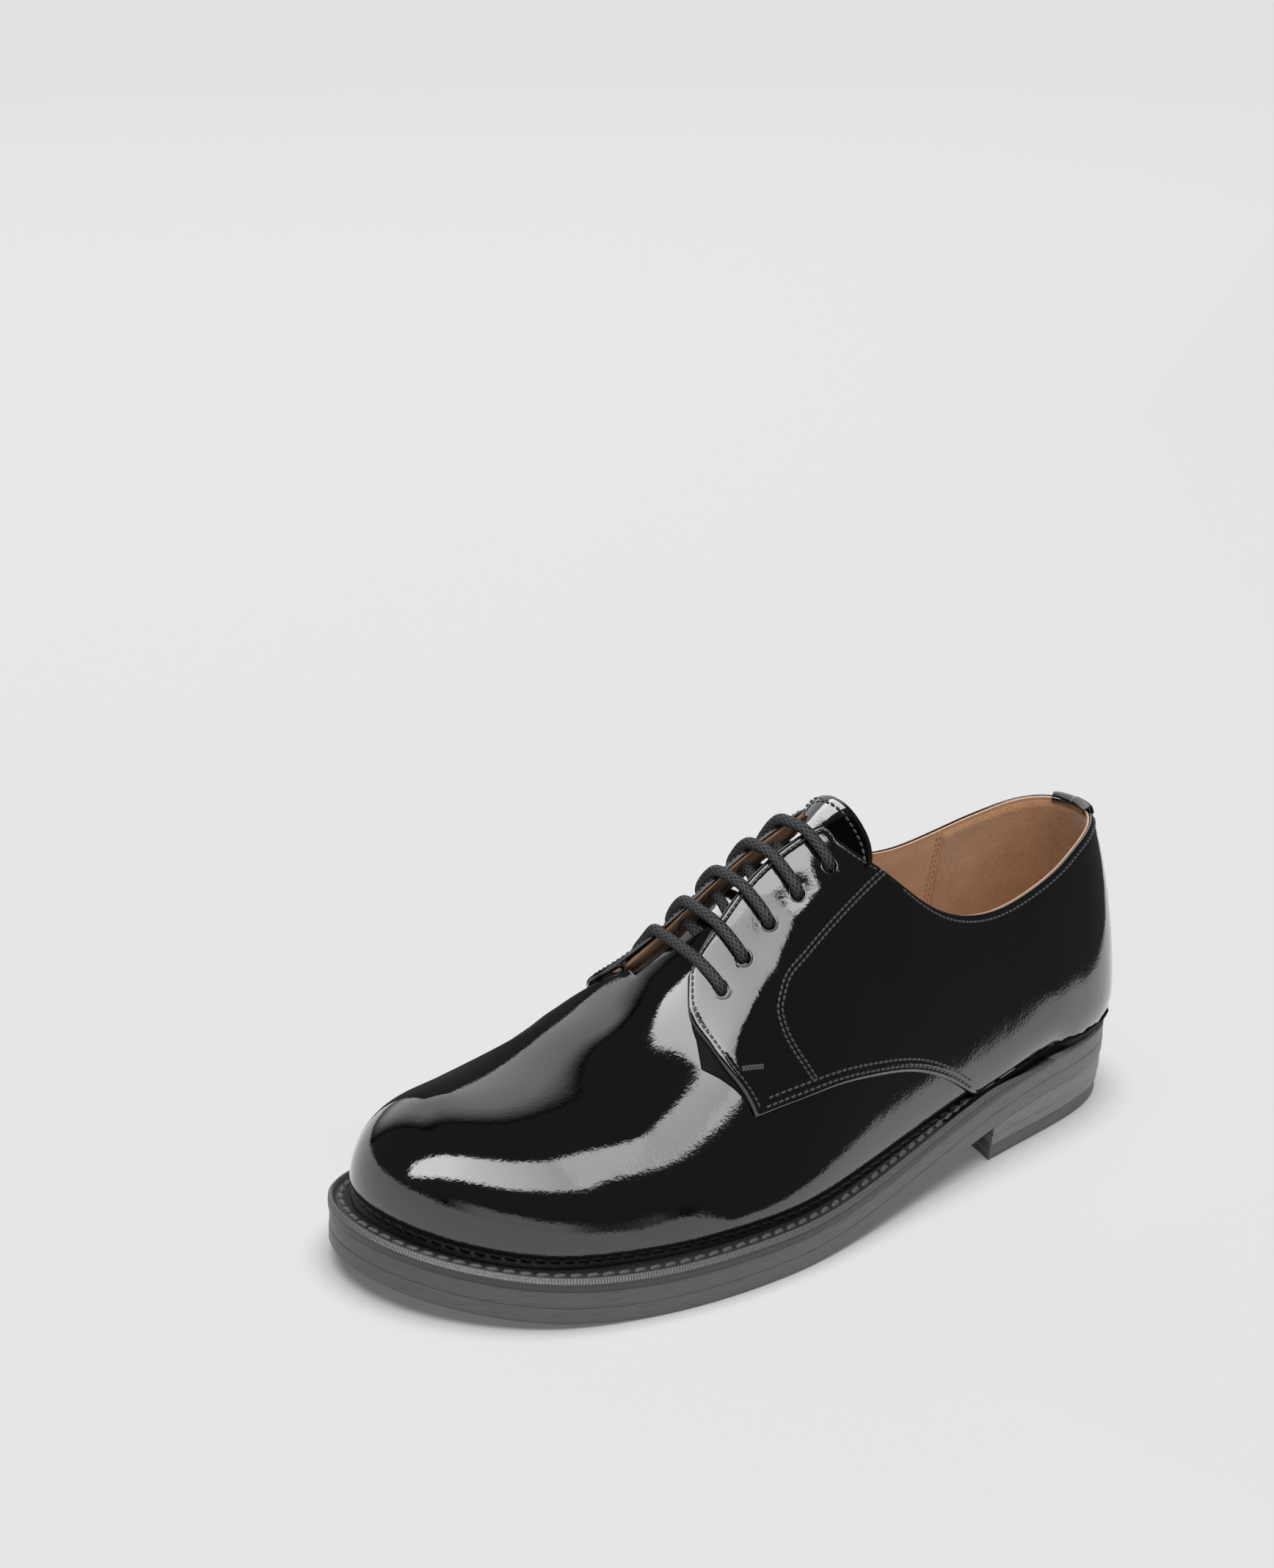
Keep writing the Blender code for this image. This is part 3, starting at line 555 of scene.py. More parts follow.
# Painted light: the heel lifts get a paler copy of the sole edge colours, standing in for the brighter light on
# the heel.
heelEdgePaintedLight = makeSoleEdge("waxedHeelEdgePaintedLight", "#5A5A5B", "#4D4D4E", 0.42)
rubber = makeSoleEdge("topRubber", "#454546", "#3A3A3B", 0.55)
dullBlack = makeGrained("dullBlackLeather", "#0C0C0D", "#050506", 0.6, 0.7, 0.06)
dullBlack.node_tree.nodes["Principled BSDF"].inputs["Specular IOR Level"].default_value = 0.12
thread = makeThread("stitchThread", "#333336", 0.42)
weltThread = makeThread("weltThread", "#434345", 0.45)
tanThread = makeThread("liningThread", "#8A6446", 0.6)
print("materials ready")

# Quarter's edges over v, for the outer and the inner side.
places = np.linspace(0.0, 1.0, 601)
edges = {}
for side in (1, -1):
    v = side * places
    upTo = reachHeight(v, topline[side])
    throat = throatEdge(v)
    soft = 0.008
    blend = np.clip(0.5 + 0.5 * (throat - upTo) / soft, 0, 1)
    top = throat + (upTo - throat) * blend - soft * blend * (1 - blend)
    edges[side] = (np.minimum(reachHeight(v, seamHeight), 0.6 * top), top)


def collarTop(v):
    outer, inner = [np.interp(np.abs(v), places, edges[side][1]) for side in (1, -1)]
    return np.where(v >= 0, outer, inner)


def frontPlace(s, side):
    ahead = lastShape["innerAhead"] if side < 0 else 0.0
    return stationOf(lastShape["quarterFront"] + ahead + frontOffset(s))


def columnRun(side, a):
    # Places from the seam to the top edge along one column of the quarter, and the length so far.
    ends = []
    for edge in edges[side]:
        s = 0.4
        for i in range(12):
            s = float(np.interp(a * frontPlace(s, side), places, edge))
        ends.append(s)
    s = np.linspace(ends[0], ends[1], 160)
    v = side * a * frontPlace(s, side)
    return v, s, pathRun(lastPoint(v, s))


quarterRun = 205.0  # Length of a quarter from heel to tab.
wallRun = 95.0  # Height of the wall from feather edge to ridge.
rimGap = 3.3
rimSteps = np.array([0.0, 0.06, 0.18, 0.36, 0.6, 0.9, 1.25, 1.55, 1.8, 2.05, 2.3, 2.6])
sideColumns = np.concatenate([np.linspace(0, 1 - rimGap / quarterRun, 140), 1 - rimSteps[::-1] / quarterRun])


def quarterGrid(side, rows, whole=False, inset=0.0):
    # Places and distances from the edges; a whole column runs from the feather edge.
    v, s, edgeGap = [], [], []
    for a in sideColumns:
        columnV, columnS, run = columnRun(side, a * (1 - inset / quarterRun))
        if whole:
            low = np.linspace(0.015, columnS[0], 60)[:-1]
            columnV = np.concatenate([side * a * frontPlace(low, side), columnV])
            columnS = np.concatenate([low, columnS])
            run = pathRun(lastPoint(columnV, columnS))
        run = np.minimum(run, run[-1] - inset)
        middle = np.linspace(rimGap, run[-1] - rimGap, rows)
        at = np.concatenate([rimSteps, middle, run[-1] - rimSteps[::-1]])
        v.append(np.interp(at, run, columnV * side) * side)
        s.append(np.interp(at, run, columnS))
        edgeGap.append(np.minimum(np.minimum(at, run[-1] - at), (1 - a) * quarterRun))
    return np.array(v).T, np.array(s).T, np.array(edgeGap).T


holes = {
    "count": 5,
    "outerX": (182.0, 173.4, 162.6, 151.0, 138.0),
    "innerX": (189.5, 180.0, 169.0, 157.5, 147.0),
    "outerBack": (14.2, 14.5, 14.5, 14.5, 12.6),
    "innerBack": (12.0, 12.0, 12.0, 12.0, 12.0),
    "gap": 8.5,
    "diameter": 4.6,
}


def facingPlace(n, side, distance):
    # Place under a lace, a distance from the facing's edge, on the slant from inner to outer hole.
    backs = holes["innerBack"][n], holes["outerBack"][n]
    across = backs[0] + holes["gap"] + backs[1]
    share = (backs[0] - distance) / across if side < 0 else 1 - (backs[1] - distance) / across
    x = holes["innerX"][n] + (holes["outerX"][n] - holes["innerX"][n]) * share
    v = side * stationOf(x)
    return v, downWall(v, throatEdge(v), distance)


def holeBack(n, side):
    return holes["outerBack"][n] if side > 0 else holes["innerBack"][n]


holePlaces = [facingPlace(n, side, holeBack(n, side)) for n in range(holes["count"]) for side in (1, -1)]
holePoints = np.array([lastPoint(v, s) for v, s in holePlaces])
# The lace draws the leather in a little at each hole.
for point in holePoints:
    creases.append({"from": point, "to": point + (0, 0, 0.5), "width": 5.5, "depth": 0.32, "rim": 0.0})


def cutHoles(piece):
    # Round lace holes through both facings.
    bpy.ops.object.select_all(action="DESELECT")
    cutters = []
    for (v, s), centre in zip(holePlaces, holePoints):
        bpy.ops.mesh.primitive_cylinder_add(
            vertices=32, radius=holes["diameter"] * 0.0005, depth=0.008, location=toFrame(centre),
            rotation=turnTo(lastNormal(v, s)),
        )
        cutters.append(bpy.context.object)
    punch = joinParts(cutters)
    bpy.ops.object.select_all(action="DESELECT")
    piece.select_set(True)
    bpy.context.view_layer.objects.active = piece
    cut = piece.modifiers.new("laceHoles", "BOOLEAN")
    cut.operation = "DIFFERENCE"
    cut.solver = "EXACT"
    cut.object = punch
    bpy.ops.object.modifier_apply(modifier=cut.name)
    bpy.data.objects.remove(punch, do_unlink=True)
    rim = piece.modifiers.new("holeRims", "BEVEL")
    rim.width = 0.0003
    rim.segments = 3
    rim.limit_method = "ANGLE"
    rim.angle_limit = math.radians(62)
    bpy.ops.object.modifier_apply(modifier=rim.name)
    bpy.ops.object.shade_smooth_by_angle(angle=math.radians(50))


# Quarters: one folded sheet from tab to tab round the heel, with rolled edges.
quarterLook = {
    "raise": 1.5, "under": 0.1, "tabLift": 1.1, "tabReach": 9.0, "roll": 1.5, "grooveAt": 2.05, "groove": 0.16,
}


def makeQuarters():
    halves = []
    for side in (1, -1):
        v, s, edgeGap = quarterGrid(side, 34)
        fromFront = (1 - sideColumns) * quarterRun
        look = quarterLook
        thick = look["raise"] + look["tabLift"] * np.exp(-((fromFront / look["tabReach"]) ** 2))
        roll = rounded(edgeGap / look["roll"])
        groove = look["groove"] * np.exp(-(((edgeGap - look["grooveAt"]) / 0.5) ** 2))
        outer = onLast(v, s, 0.5 * thick * (1 + roll) - groove)
        tuckedIn = rounded(2 * edgeGap / thick)
        inner = onLast(v, s, 0.5 * thick - (0.5 * thick - look["under"]) * tuckedIn)
        halves.append(sheet(outer, inner))
    piece = gridPiece("quarters", joinHalves(*halves))
    cutHoles(piece)
    return finishPiece(piece, patent, ["upper"])


makeQuarters()
print("quarters ready")

# Rims of the lace holes: the leather stands up a little round each lace.
rimLook = {"ring": 2.7, "wall": 0.45, "lift": 1.22}


def makeHoleRims():
    bpy.ops.object.select_all(action="DESELECT")
    rims = []
    for v, s in holePlaces:
        bpy.ops.mesh.primitive_torus_add(
            major_segments=36, minor_segments=12, major_radius=rimLook["ring"] * 0.001,
            minor_radius=rimLook["wall"] * 0.001, location=toFrame(onLast(v, s, rimLook["lift"])),
            rotation=turnTo(lastNormal(v, s)),
        )
        rims.append(bpy.context.object)
    piece = joinParts(rims)
    piece.name = "holeRims"
    piece.data.name = "holeRims"
    bpy.ops.object.transform_apply(location=True, rotation=True, scale=True)
    bpy.ops.object.shade_smooth()
    return finishPiece(piece, patent)


makeHoleRims()
print("hole rims ready")

# Underlay: a dull dark edge of the inner layer that shows ahead of each tab; its dark wedge is partly painted
# shade, standing in for the tab's shadow and the tab's edge mirrored in the vamp.
underlayShadeLook = {
    "wall": 0.55, "under": 7.0, "perPlace": 320.0,
    "edge": np.array([
        (0.15, -0.6), (0.19, 0.4), (0.277, 2.4), (0.343, 4.6), (0.456, 1.1), (0.57, -0.6), (0.6, -1.2),
    ]),
}


def makeUnderlayShade(side):
    look = underlayShadeLook
    rows = np.unique(np.concatenate([np.linspace(0.15, 0.6, 46), look["edge"][:, 0]]))
    ahead = np.interp(rows, look["edge"][:, 0], look["edge"][:, 1])
    share = np.array([0, 0.4, 0.8, 0.93, 0.97, 0.99, 1.0])
    front = frontPlace(rows, side)[:, None]
    v = side * (front + (-look["under"] + (ahead[:, None] + look["under"]) * share) / look["perPlace"])
    s = np.broadcast_to(rows[:, None], v.shape)
    top = look["wall"] * np.sqrt(1 - np.clip((share - 0.9) / 0.1, 0, 1) ** 2)
    outer = onLast(v, s, top)
    inner = onLast(v, s, -0.25)
    grid = np.concatenate([outer, inner[:, ::-1], outer[:, :1]], axis=1)
    name = "tabUnderlayOuter" if side > 0 else "tabUnderlayInner"
    # Painted shade: the dull black wedge stands in partly for the shadow ahead of the tab.
    return finishPiece(gridPiece(name, grid, fill=True, sharp=50), dullBlack, ["upper"])


makeUnderlayShade(1)
makeUnderlayShade(-1)
print("underlay ready")

# Vamp: over the toe and, as a band, along both sides under the quarters.
vampLook = {"backX": 170.0, "throatX": 196.0, "slant": 22.0, "endX": 58.0}


def makeVamp():
    first = stationOf(vampLook["endX"])
    turn = stationOf(vampLook["backX"])
    sideRun = np.concatenate([np.linspace(first, turn, 90), np.linspace(turn + 0.003, 1.0, 80)])
    v = np.concatenate([sideRun, 2.0 - sideRun[-2::-1]])
    low = np.linspace(0, 1, 26) ** 1.3
    high = np.linspace(0, 1, 46)[1:]
    grid = []
    for place in v:
        side = 1 if place <= 1 else -1
        plain = place if place <= 1 else 2 - place
        seam, top = [np.interp(plain, places, edge) for edge in edges[side]]
        station = meanStation(place)
        band = seam + 0.1
        end = band
        if plain > turn:
            widen = ease(plain, turn, turn + 0.1)
            band = band + (0.5 - band) * widen
            if side > 0:
                whole = np.clip((station - vampLook["throatX"]) / vampLook["slant"] + 1, 0, 1)
            else:
                whole = ease(station, vampLook["throatX"], vampLook["throatX"] + 2)
            end = max(top + (1 - top) * whole, band)
        s = np.concatenate([band * low, band + (end - band) * high])
        grid.append(onLast(place, s))
    grid = np.array(grid).transpose(1, 0, 2)
    piece = gridPiece("vamp", grid)
    return finishPiece(piece, patent, ["upper"])


makeVamp()
print("vamp ready")

# Lining: tan leather inside the quarters, with a suede grip round the heel.
liningLook = {"depth": 1.0, "setBack": 1.0, "gripEnd": 0.197, "gripDepth": 0.45, "perPlace": 330.0}


def makeLining():
    halves = []
    for side in (1, -1):
        v, s, edgeGap = quarterGrid(side, 34, True, liningLook["setBack"])
        seam = np.interp(np.abs(v), places, edges[side][0])
        outer = onLast(v, s, 0.05 - 0.45 * ease(s, seam + 0.06, seam + 0.03))
        topGap = np.maximum(s[-1:] - s, 0) * wallRun
        inner = onLast(v, s, -liningLook["depth"] * (0.45 + 0.55 * ease(topGap, 0, 5)))
        inner[:, -1] = outer[:, -1]
        halves.append(sheet(outer, inner))
    piece = gridPiece("lining", joinHalves(*halves), sharp=45)
    cutHoles(piece)
    finishPiece(piece, tan, ["upper"])
    end = liningLook["gripEnd"]
    v = np.linspace(-end, end, 141)
    top = collarTop(v)
    rows = np.linspace(0.03, 1.0, 50)[:, None]
    s = rows * (top[None, :] - 0.012)
    vv = np.broadcast_to(v, s.shape)
    sideGap = np.clip((end - np.abs(vv)) * liningLook["perPlace"] / 0.4, 0, 1)
    topGap = ease((1 - rows) * 90, 0, 5)
    depth = liningLook["depth"] * (0.55 + 0.45 * topGap) + liningLook["gripDepth"] * sideGap * topGap
    inner = onLast(vv, s, -depth)
    outer = onLast(vv, s, -0.3)
    piece = gridPiece("heelGrip", sheet(inner, outer), fill=True)
    finishPiece(piece, suede)


makeLining()
print("lining ready")

# Tongue: a flap under the facings with a rounded top.
tongueLook = {
    "wall": 2.4, "frontX": 214.0, "topX": 126.0, "topSlant": 0.25, "topRound": 5.0, "topLift": 4.9, "drop": 2.9,
    "frontDrop": 2.3, "slantHalf": 27.0, "half": 26.0, "length": 85.0, "roll": 1.2,
}


def tonguePlace(share, across):
    look = tongueLook
    topX = look["topX"] - look["topSlant"] * look["slantHalf"] * across + look["topRound"] * abs(across) ** 6
    x = topX + (look["frontX"] - topX) * share
    v = stationOf(x) * (1 if across >= 0 else -1)
    s = downWall(v, 1.0, abs(across) * tongueHalf(x))
    underVamp = ease(x, lastShape["quarterFront"] - 8.0, look["frontX"] - 8.0)
    aboveTop = ease(x - topX, 18.0, 0.0)
    drop = look["drop"] + (look["frontDrop"] - look["drop"]) * underVamp - look["topLift"] * aboveTop
    return v, s, drop


def tongueGrid(shares, acrosses):
    grid = np.array([[tonguePlace(share, across) for across in acrosses] for share in shares])
    return grid[..., 0], grid[..., 1], grid[..., 2]


def makeTongue():
    across = np.concatenate([[-1, -0.985, -0.965, -0.94], np.linspace(-0.9, 0.9, 45), [0.94, 0.965, 0.985, 1]])
    share = np.concatenate([[0, 0.004, 0.01, 0.018, 0.028], np.linspace(0.045, 1.0, 56)])
    look = tongueLook
    v, s, drop = tongueGrid(share, across)
    edgeGap = np.minimum((1 - np.abs(across))[None, :] * look["half"], share[:, None] * look["length"])
    roll = rounded(edgeGap / look["roll"])
    outer = onLast(v, s, -drop - look["roll"] * (1 - roll))
    inner = onLast(v, s, -drop - look["wall"] + look["roll"] * (1 - roll))
    for grid in (outer, inner):
        for i in range(8):
            grid[:, 5:-5] = (grid[:, 4:-6] + grid[:, 5:-5] * 2 + grid[:, 6:-4]) / 4
    piece = gridPiece("tongueFlap", sheet(outer, inner), fill=True)
    return finishPiece(piece, patent, ["tongue"])


makeTongue()
print("tongue ready")

# Back strap over the heel seam, with a wider cap folded over the collar.
strapLook = {"half": 8.0, "capHalf": 12.5, "base": 1.5, "wall": 1.1, "perPlace": 340.0}
capPath = np.array([
    (0.0, 2.6), (0.6, 2.4), (1.1, 1.7), (1.3, 0.7), (1.1, -0.5), (0.5, -1.3), (-0.3, -1.65), (-1.3, -1.7),
])


def makeStrap():
    look = strapLook
    up = np.concatenate([np.linspace(0.03, 0.985, 70), np.ones(len(capPath))])
    over = np.concatenate([np.zeros(70), capPath[:, 0]])
    lift = np.concatenate([np.full(70, look["base"] + look["wall"]), capPath[:, 1]])
    half = look["half"] + (look["capHalf"] - look["half"]) * ease(up, 0.88, 0.96)
    across = np.concatenate([[-1, -0.985, -0.95, -0.9], np.linspace(-0.82, 0.82, 23), [0.9, 0.95, 0.985, 1]])
    v = half[:, None] * across[None, :] / look["perPlace"]
    s = up[:, None] * collarTop(v) + over[:, None] / wallRun
    roll = rounded((1 - np.abs(across)) / 0.12)[None, :]
    ends = np.minimum(np.arange(len(up)), np.arange(len(up))[::-1])[:, None] / 2
    roll = roll * np.clip(ends, 0, 1)
    core = np.where(lift > 0, 0.6, -0.6)[:, None] * np.minimum(np.abs(lift), look["base"])[:, None] / 0.9
    inward = np.where(over > 0, 0.5 * over, over)[:, None] / wallRun
    outer = onLast(v, s, lift[:, None] + (core - lift[:, None]) * 0.5 * (1 - roll))
    inner = onLast(v, up[:, None] * collarTop(v) + inward, core)
    piece = gridPiece("backStrap", sheet(outer, inner), fill=True)
    return finishPiece(piece, patent, ["back_strap"])


makeStrap()
print("strap ready")

# Rand: a dull wavy strip that closes the heel seat between upper and sole.
randLook = {"height": 5.2, "ends": 3.4, "endX": 100.0, "wall": 0.5}


def makeRand():
    look = randLook
    end = stationOf(look["endX"])
    v = np.linspace(-end, end, 301)
    wave = 0.4 * np.sin(v * 170) + 0.3 * np.sin(v * 88 + 1) + 0.2 * np.sin(v * 395 + 2)
    tall = look["ends"] + (look["height"] - look["ends"]) * ease(end - np.abs(v), 0, 0.25 * end) + 0.8 * wave
    top = reachHeight(v, lambda x: midsoleTop(x) + tall[:, None])
    rows = np.concatenate([[0.0], np.linspace(0.0, 0.8, 9), [0.87, 0.93, 0.97, 1.0]])
    s = rows[:, None] * top[None, :]
    roll = np.sqrt(1 - np.clip((rows - 0.8) / 0.2, 0, 1) ** 2)[:, None]
    outer = onLast(v, s, quarterLook["raise"] - 0.1 + (look["wall"] + 0.1 + 0.25 * wave) * roll)
    inner = onLast(v, s, 0.9)
    for face in (outer, inner):
        face[0, :, 2] = midsoleTop(face[0, :, 0]) + 0.05
    piece = gridPiece("heelRand", sheet(outer, inner), fill=True)
    return finishPiece(piece, dullBlack)


makeRand()
print("rand ready")

# Sole layers: each is a loft across the shoe with a shaped edge.
soleLook = {
    "outsole": {"inset": 0.0, "chamfer": 0.7, "round": 0.12},
    "midsole": {"from": 5.24, "inset": 0.12, "chamfer": 0.12, "round": 0.12},
    "breastX": 75.5,
    "hollow": 4.0,
    "taper": 1.2,
}


def plateGrid(stations, inset, bottom, top, chamfer, roundness, hollow=0.0):
    # Ring at each station: up the outer side, across, down the inner side and back underneath.
    share = np.linspace(0.0, 1.0, 15)
    side = [(chamfer, 0.0), (0.35 * chamfer, 0.2 * chamfer), (0.0, chamfer)]
    side += [(0.0, f) for f in (0.25, 0.5, 0.75)]
    side += [(0.0, -roundness), (0.3 * roundness, -0.3 * roundness), (roundness, 0.0)]
    rings = []
    for v in stations:
        near = ease(v, stations[0] + 0.5 * (stations[-1] - stations[0]), stations[-1])

        def across(extra, f):
            ends = [np.array(outlinePoint(w, inset + extra)[:2]) for w in (v, -v)]
            line = ends[0] + (ends[1] - ends[0]) * np.atleast_1d(f)[:, None]
            line[:, 0] -= hollow * near * (1 - (2 * np.atleast_1d(f) - 1) ** 2)
            return line

        def sideLine(f):
            points = []
            for i, (extra, level) in enumerate(side):
                x, y = across(extra, f)[0]
                low, high = bottom(x), top(x)
                if i < 3:
                    z = low + level
                elif i > 5:
                    z = high + level
                else:
                    z = low + (high - low) * level
                points.append((x, y, z))
            return points

        high = across(roundness, share[1:-1])
        low = across(chamfer, share[-2:0:-1])
        ring = sideLine(0.0) + [(x, y, top(x)) for x, y in high] + sideLine(1.0)[::-1]
        ring += [(x, y, bottom(x)) for x, y in low]
        rings.append(ring + ring[:1])
    return np.array(rings).transpose(1, 0, 2)


def plateEnd(grid):
    # Closes the breast: the last ring is drawn to its own middle line.
    middle = grid[:, -1].copy()
    middle[:, 2] = 0.5 * (middle[:, 2].min() + middle[:, 2].max())
    return np.concatenate([grid, middle[:, None]], axis=1)


def levelAt(z):
    return lambda x: z + 0 * x


def overSole(lift):
    return lambda x: soleBottom(x) + lift


def makeSoles():
    runs = np.linspace(0, 0.06, 16)[:-1], np.linspace(0.06, 0.92, 150)[:-1], np.linspace(0.92, 1.0, 22)
    whole = np.concatenate(runs)
    plates = (
        ("outsolePlate", "outsole", soleBottom, overSole(lastShape["outsole"])),
        ("midsolePlate", "midsole", overSole(soleLook["midsole"]["from"]), midsoleTop),
    )
    for name, node, low, high in plates:
        flat = soleLook[node]
        grid = plateGrid(whole, flat["inset"], low, high, flat["chamfer"], flat["round"])
        finishPiece(gridPiece(name, grid, sharp=35), soleEdge, [node])
    heel = np.linspace(0.0, stationOf(soleLook["breastX"]), 60)
    lifts = (
        ("topPiece", "top_piece", 1.0, levelAt(0.0), levelAt(5.4), rubber, "top_rubber", 0.7, 0.3),
        ("liftLower", "heel_lift_lower", 0.6, levelAt(5.5), levelAt(9.05), heelEdgePaintedLight, "sole_leather", 0.12, 0.3),
        ("liftUpper", "heel_lift_upper", 0.3, levelAt(9.1), overSole(-0.05), heelEdgePaintedLight, "sole_leather", 0.12, 0.12),
    )
    for name, node, share, low, high, look, slot, chamfer, roundness in lifts:
        grid = plateGrid(heel, share * soleLook["taper"], low, high, chamfer, roundness, soleLook["hollow"])
        finishPiece(gridPiece(name, plateEnd(grid), sharp=35), look, [node])


makeSoles()
print("soles ready")

# Welt: a strip round the forefoot with a wheeled bead along its edge.
weltSizes = {
    "beadHeight": 0.95, "beadWidth": 1.5, "stitchPitch": 4.9, "stitchInset": 3.5, "wheelMarks": 0.9,
    "lowTo": 50.0, "fullFrom": 84.0,
}


def makeWelt():
    first = stationOf(lastShape["weltEnd"])
    v = np.linspace(first, 2 - first, 620)
    inner = wallInset(meanStation(v)) + tuckAt(meanStation(v)) + 5.0
    thick, bead, wide = lastShape["welt"], weltSizes["beadHeight"], weltSizes["beadWidth"]
    profile = [(None, 0.0), (0.0, 0.0), (-0.25, 0.3), (-0.4, 0.5 * thick), (-0.3, thick)]
    for angle in np.radians(np.linspace(165, 10, 9)):
        profile.append((0.5 * wide * (1 + math.cos(angle)) - 0.05, thick - 0.25 + (bead + 0.25) * math.sin(angle)))
    profile += [(wide + 0.15, thick - 0.35), (wide + 0.5, thick - 0.3), (wide + 1.2, thick - 0.05), (None, thick)]
    rings = []
    for inset, lift in profile + profile[:1]:
        x, y = outlinePoint(v, inner if inset is None else inset + 0 * inner)[:2]
        raised = lift + (0.22 if lift > 0.4 else 0.0)
        taper = 0.12 + 0.88 * ease(x, weltSizes["lowTo"], weltSizes["fullFrom"])
        rings.append(np.column_stack([x, y, midsoleTop(x) + 0.08 + raised * taper]))
    piece = gridPiece("weltStrip", np.array(rings), fill=True)
    length = pathRun(rings[1])[-1]
    weltLook = makeWeltLook(length, weltSizes["wheelMarks"], (3.5 / len(profile), 13.5 / len(profile)))
    return finishPiece(piece, weltLook, ["welt"])


makeWelt()
print("welt ready")

# Insole with its sock lining, inside the wall of the upper.
insoleLook = {"top": 3.9, "bottom": 0.3, "inset": 5.5}


def makeInsole():
    whole = np.linspace(0.0, 1.0, 80)
    share = np.linspace(0.0, 1.0, 15)
    layers = []
    for lift in (insoleLook["top"], insoleLook["bottom"]):
        rows = []
        for v in whole:
            inset = wallInset(meanStation(v)) + tuckAt(meanStation(v)) + insoleLook["inset"]
            ends = [np.array(outlinePoint(w, inset)[:2]) for w in (v, -v)]
            line = ends[0] + (ends[1] - ends[0]) * share[:, None]
            rows.append(np.column_stack([line, midsoleTop(line[:, 0]) + lift]))
        layers.append(np.array(rows).transpose(1, 0, 2))
    grid = sheet(*layers)
    return finishPiece(gridPiece("sockPlate", grid, sharp=40), sock, ["insole"])


makeInsole()
print("insole ready")

# Lace: one cord through all the holes, straight over the facings and slanting underneath.
laceLook = {"diameter": 3.6, "crown": 0.2, "under": 3.6, "braid": 2.1, "strands": 7.0}


def smoothPath(points, step, blur):
    # Even steps along a path, with its corners rounded over a few steps.
    points = np.asarray(points, float)
    run = pathRun(points)
    at = np.linspace(0, run[-1], int(run[-1] / step) + 1)
    line = pointsAt(at, run, points)
    reach = int(3 * blur / step)
    weights = np.exp(-0.5 * (np.arange(-reach, reach + 1) * step / blur) ** 2)
    padded = np.pad(line, ((reach, reach), (0, 0)), mode="edge")
    return np.column_stack([np.convolve(padded[:, i], weights / weights.sum(), mode="valid") for i in range(3)])


def tubeGrid(path, radius, sides=16):
    tangent = np.gradient(path, axis=0)
    tangent /= np.linalg.norm(tangent, axis=1)[:, None]
    normal = np.cross(tangent[0], (0.3, 0.5, 0.81))
    rings = []
    angles = np.linspace(0, 2 * math.pi, sides + 1)
    for i, t in enumerate(tangent):
        normal = normal - t * (normal @ t)
        normal /= np.linalg.norm(normal)
        other = np.cross(t, normal)
        rings.append(path[i] + radius * (np.cos(angles)[:, None] * normal + np.sin(angles)[:, None] * other))
    start = np.repeat(path[:1], sides + 1, axis=0)
    end = np.repeat(path[-1:], sides + 1, axis=0)
    return np.array([start] + rings + [end])


def laceSide(n, side):
    clear = quarterLook["raise"] - 0.15 + 0.5 * laceLook["diameter"]
    back = holeBack(n, side)
    steps = [(back, -3.2), (back, -0.6), (back - 0.3, clear - 1.3), (back - 1.6, clear - 0.1), (back - 3.5, clear)]
    steps += [(share * back, clear) for share in (0.6, 0.45, 0.3, 0.15, 0.0)]
    return [onLast(*facingPlace(n, side, gap), lift) for gap, lift in steps]


def underPlace(n, t):
    # Slanting run under the facings and over the tongue, from outer hole n to inner hole n + 1.
    backs = holes["outerBack"][n], holes["innerBack"][n + 1]
    at = t * (backs[0] + holes["gap"] + backs[1]) - backs[0]
    x = holes["outerX"][n] + (holes["innerX"][n + 1] - holes["outerX"][n]) * t
    v = stationOf(x) * (1 if at < holes["gap"] else -1)
    edge = throatEdge(v)
    if at < 0:
        s = downWall(v, edge, -at)
    elif at < holes["gap"]:
        s = edge + (1 - edge) * at / holes["gap"]
    else:
        s = downWall(v, edge, at - holes["gap"])
    return onLast(v, s, -laceLook["under"])


def makeLace():
    path = []
    for n in range(holes["count"]):
        inner, outer = laceSide(n, -1), laceSide(n, 1)
        path += inner + [0.5 * (inner[-1] + outer[-1]) + np.array([0, 0, laceLook["crown"]])] + outer[::-1]
        if n + 1 < holes["count"]:
            path += [underPlace(n, t) for t in np.linspace(0.08, 0.92, 12)]
    line = smoothPath(path, 0.5, 1.1)
    piece = gridPiece("lace", tubeGrid(line, 0.5 * laceLook["diameter"]))
    length = pathRun(line)[-1]
    cord = makeBraid("laceCord", "#333335", "#08080A", laceLook["strands"], length / laceLook["braid"], 0.22, 0.5)
    return finishPiece(piece, cord, [f"lace_bar_{n + 1}" for n in range(holes["count"])])


makeLace()
print("lace ready")

# Stitches: short rounded lengths of thread along paths on the leather.
stitchLook = {"thick": 0.75, "fine": 0.6, "lift": 0.16, "seamPitch": 2.3, "edgePitch": 1.9}


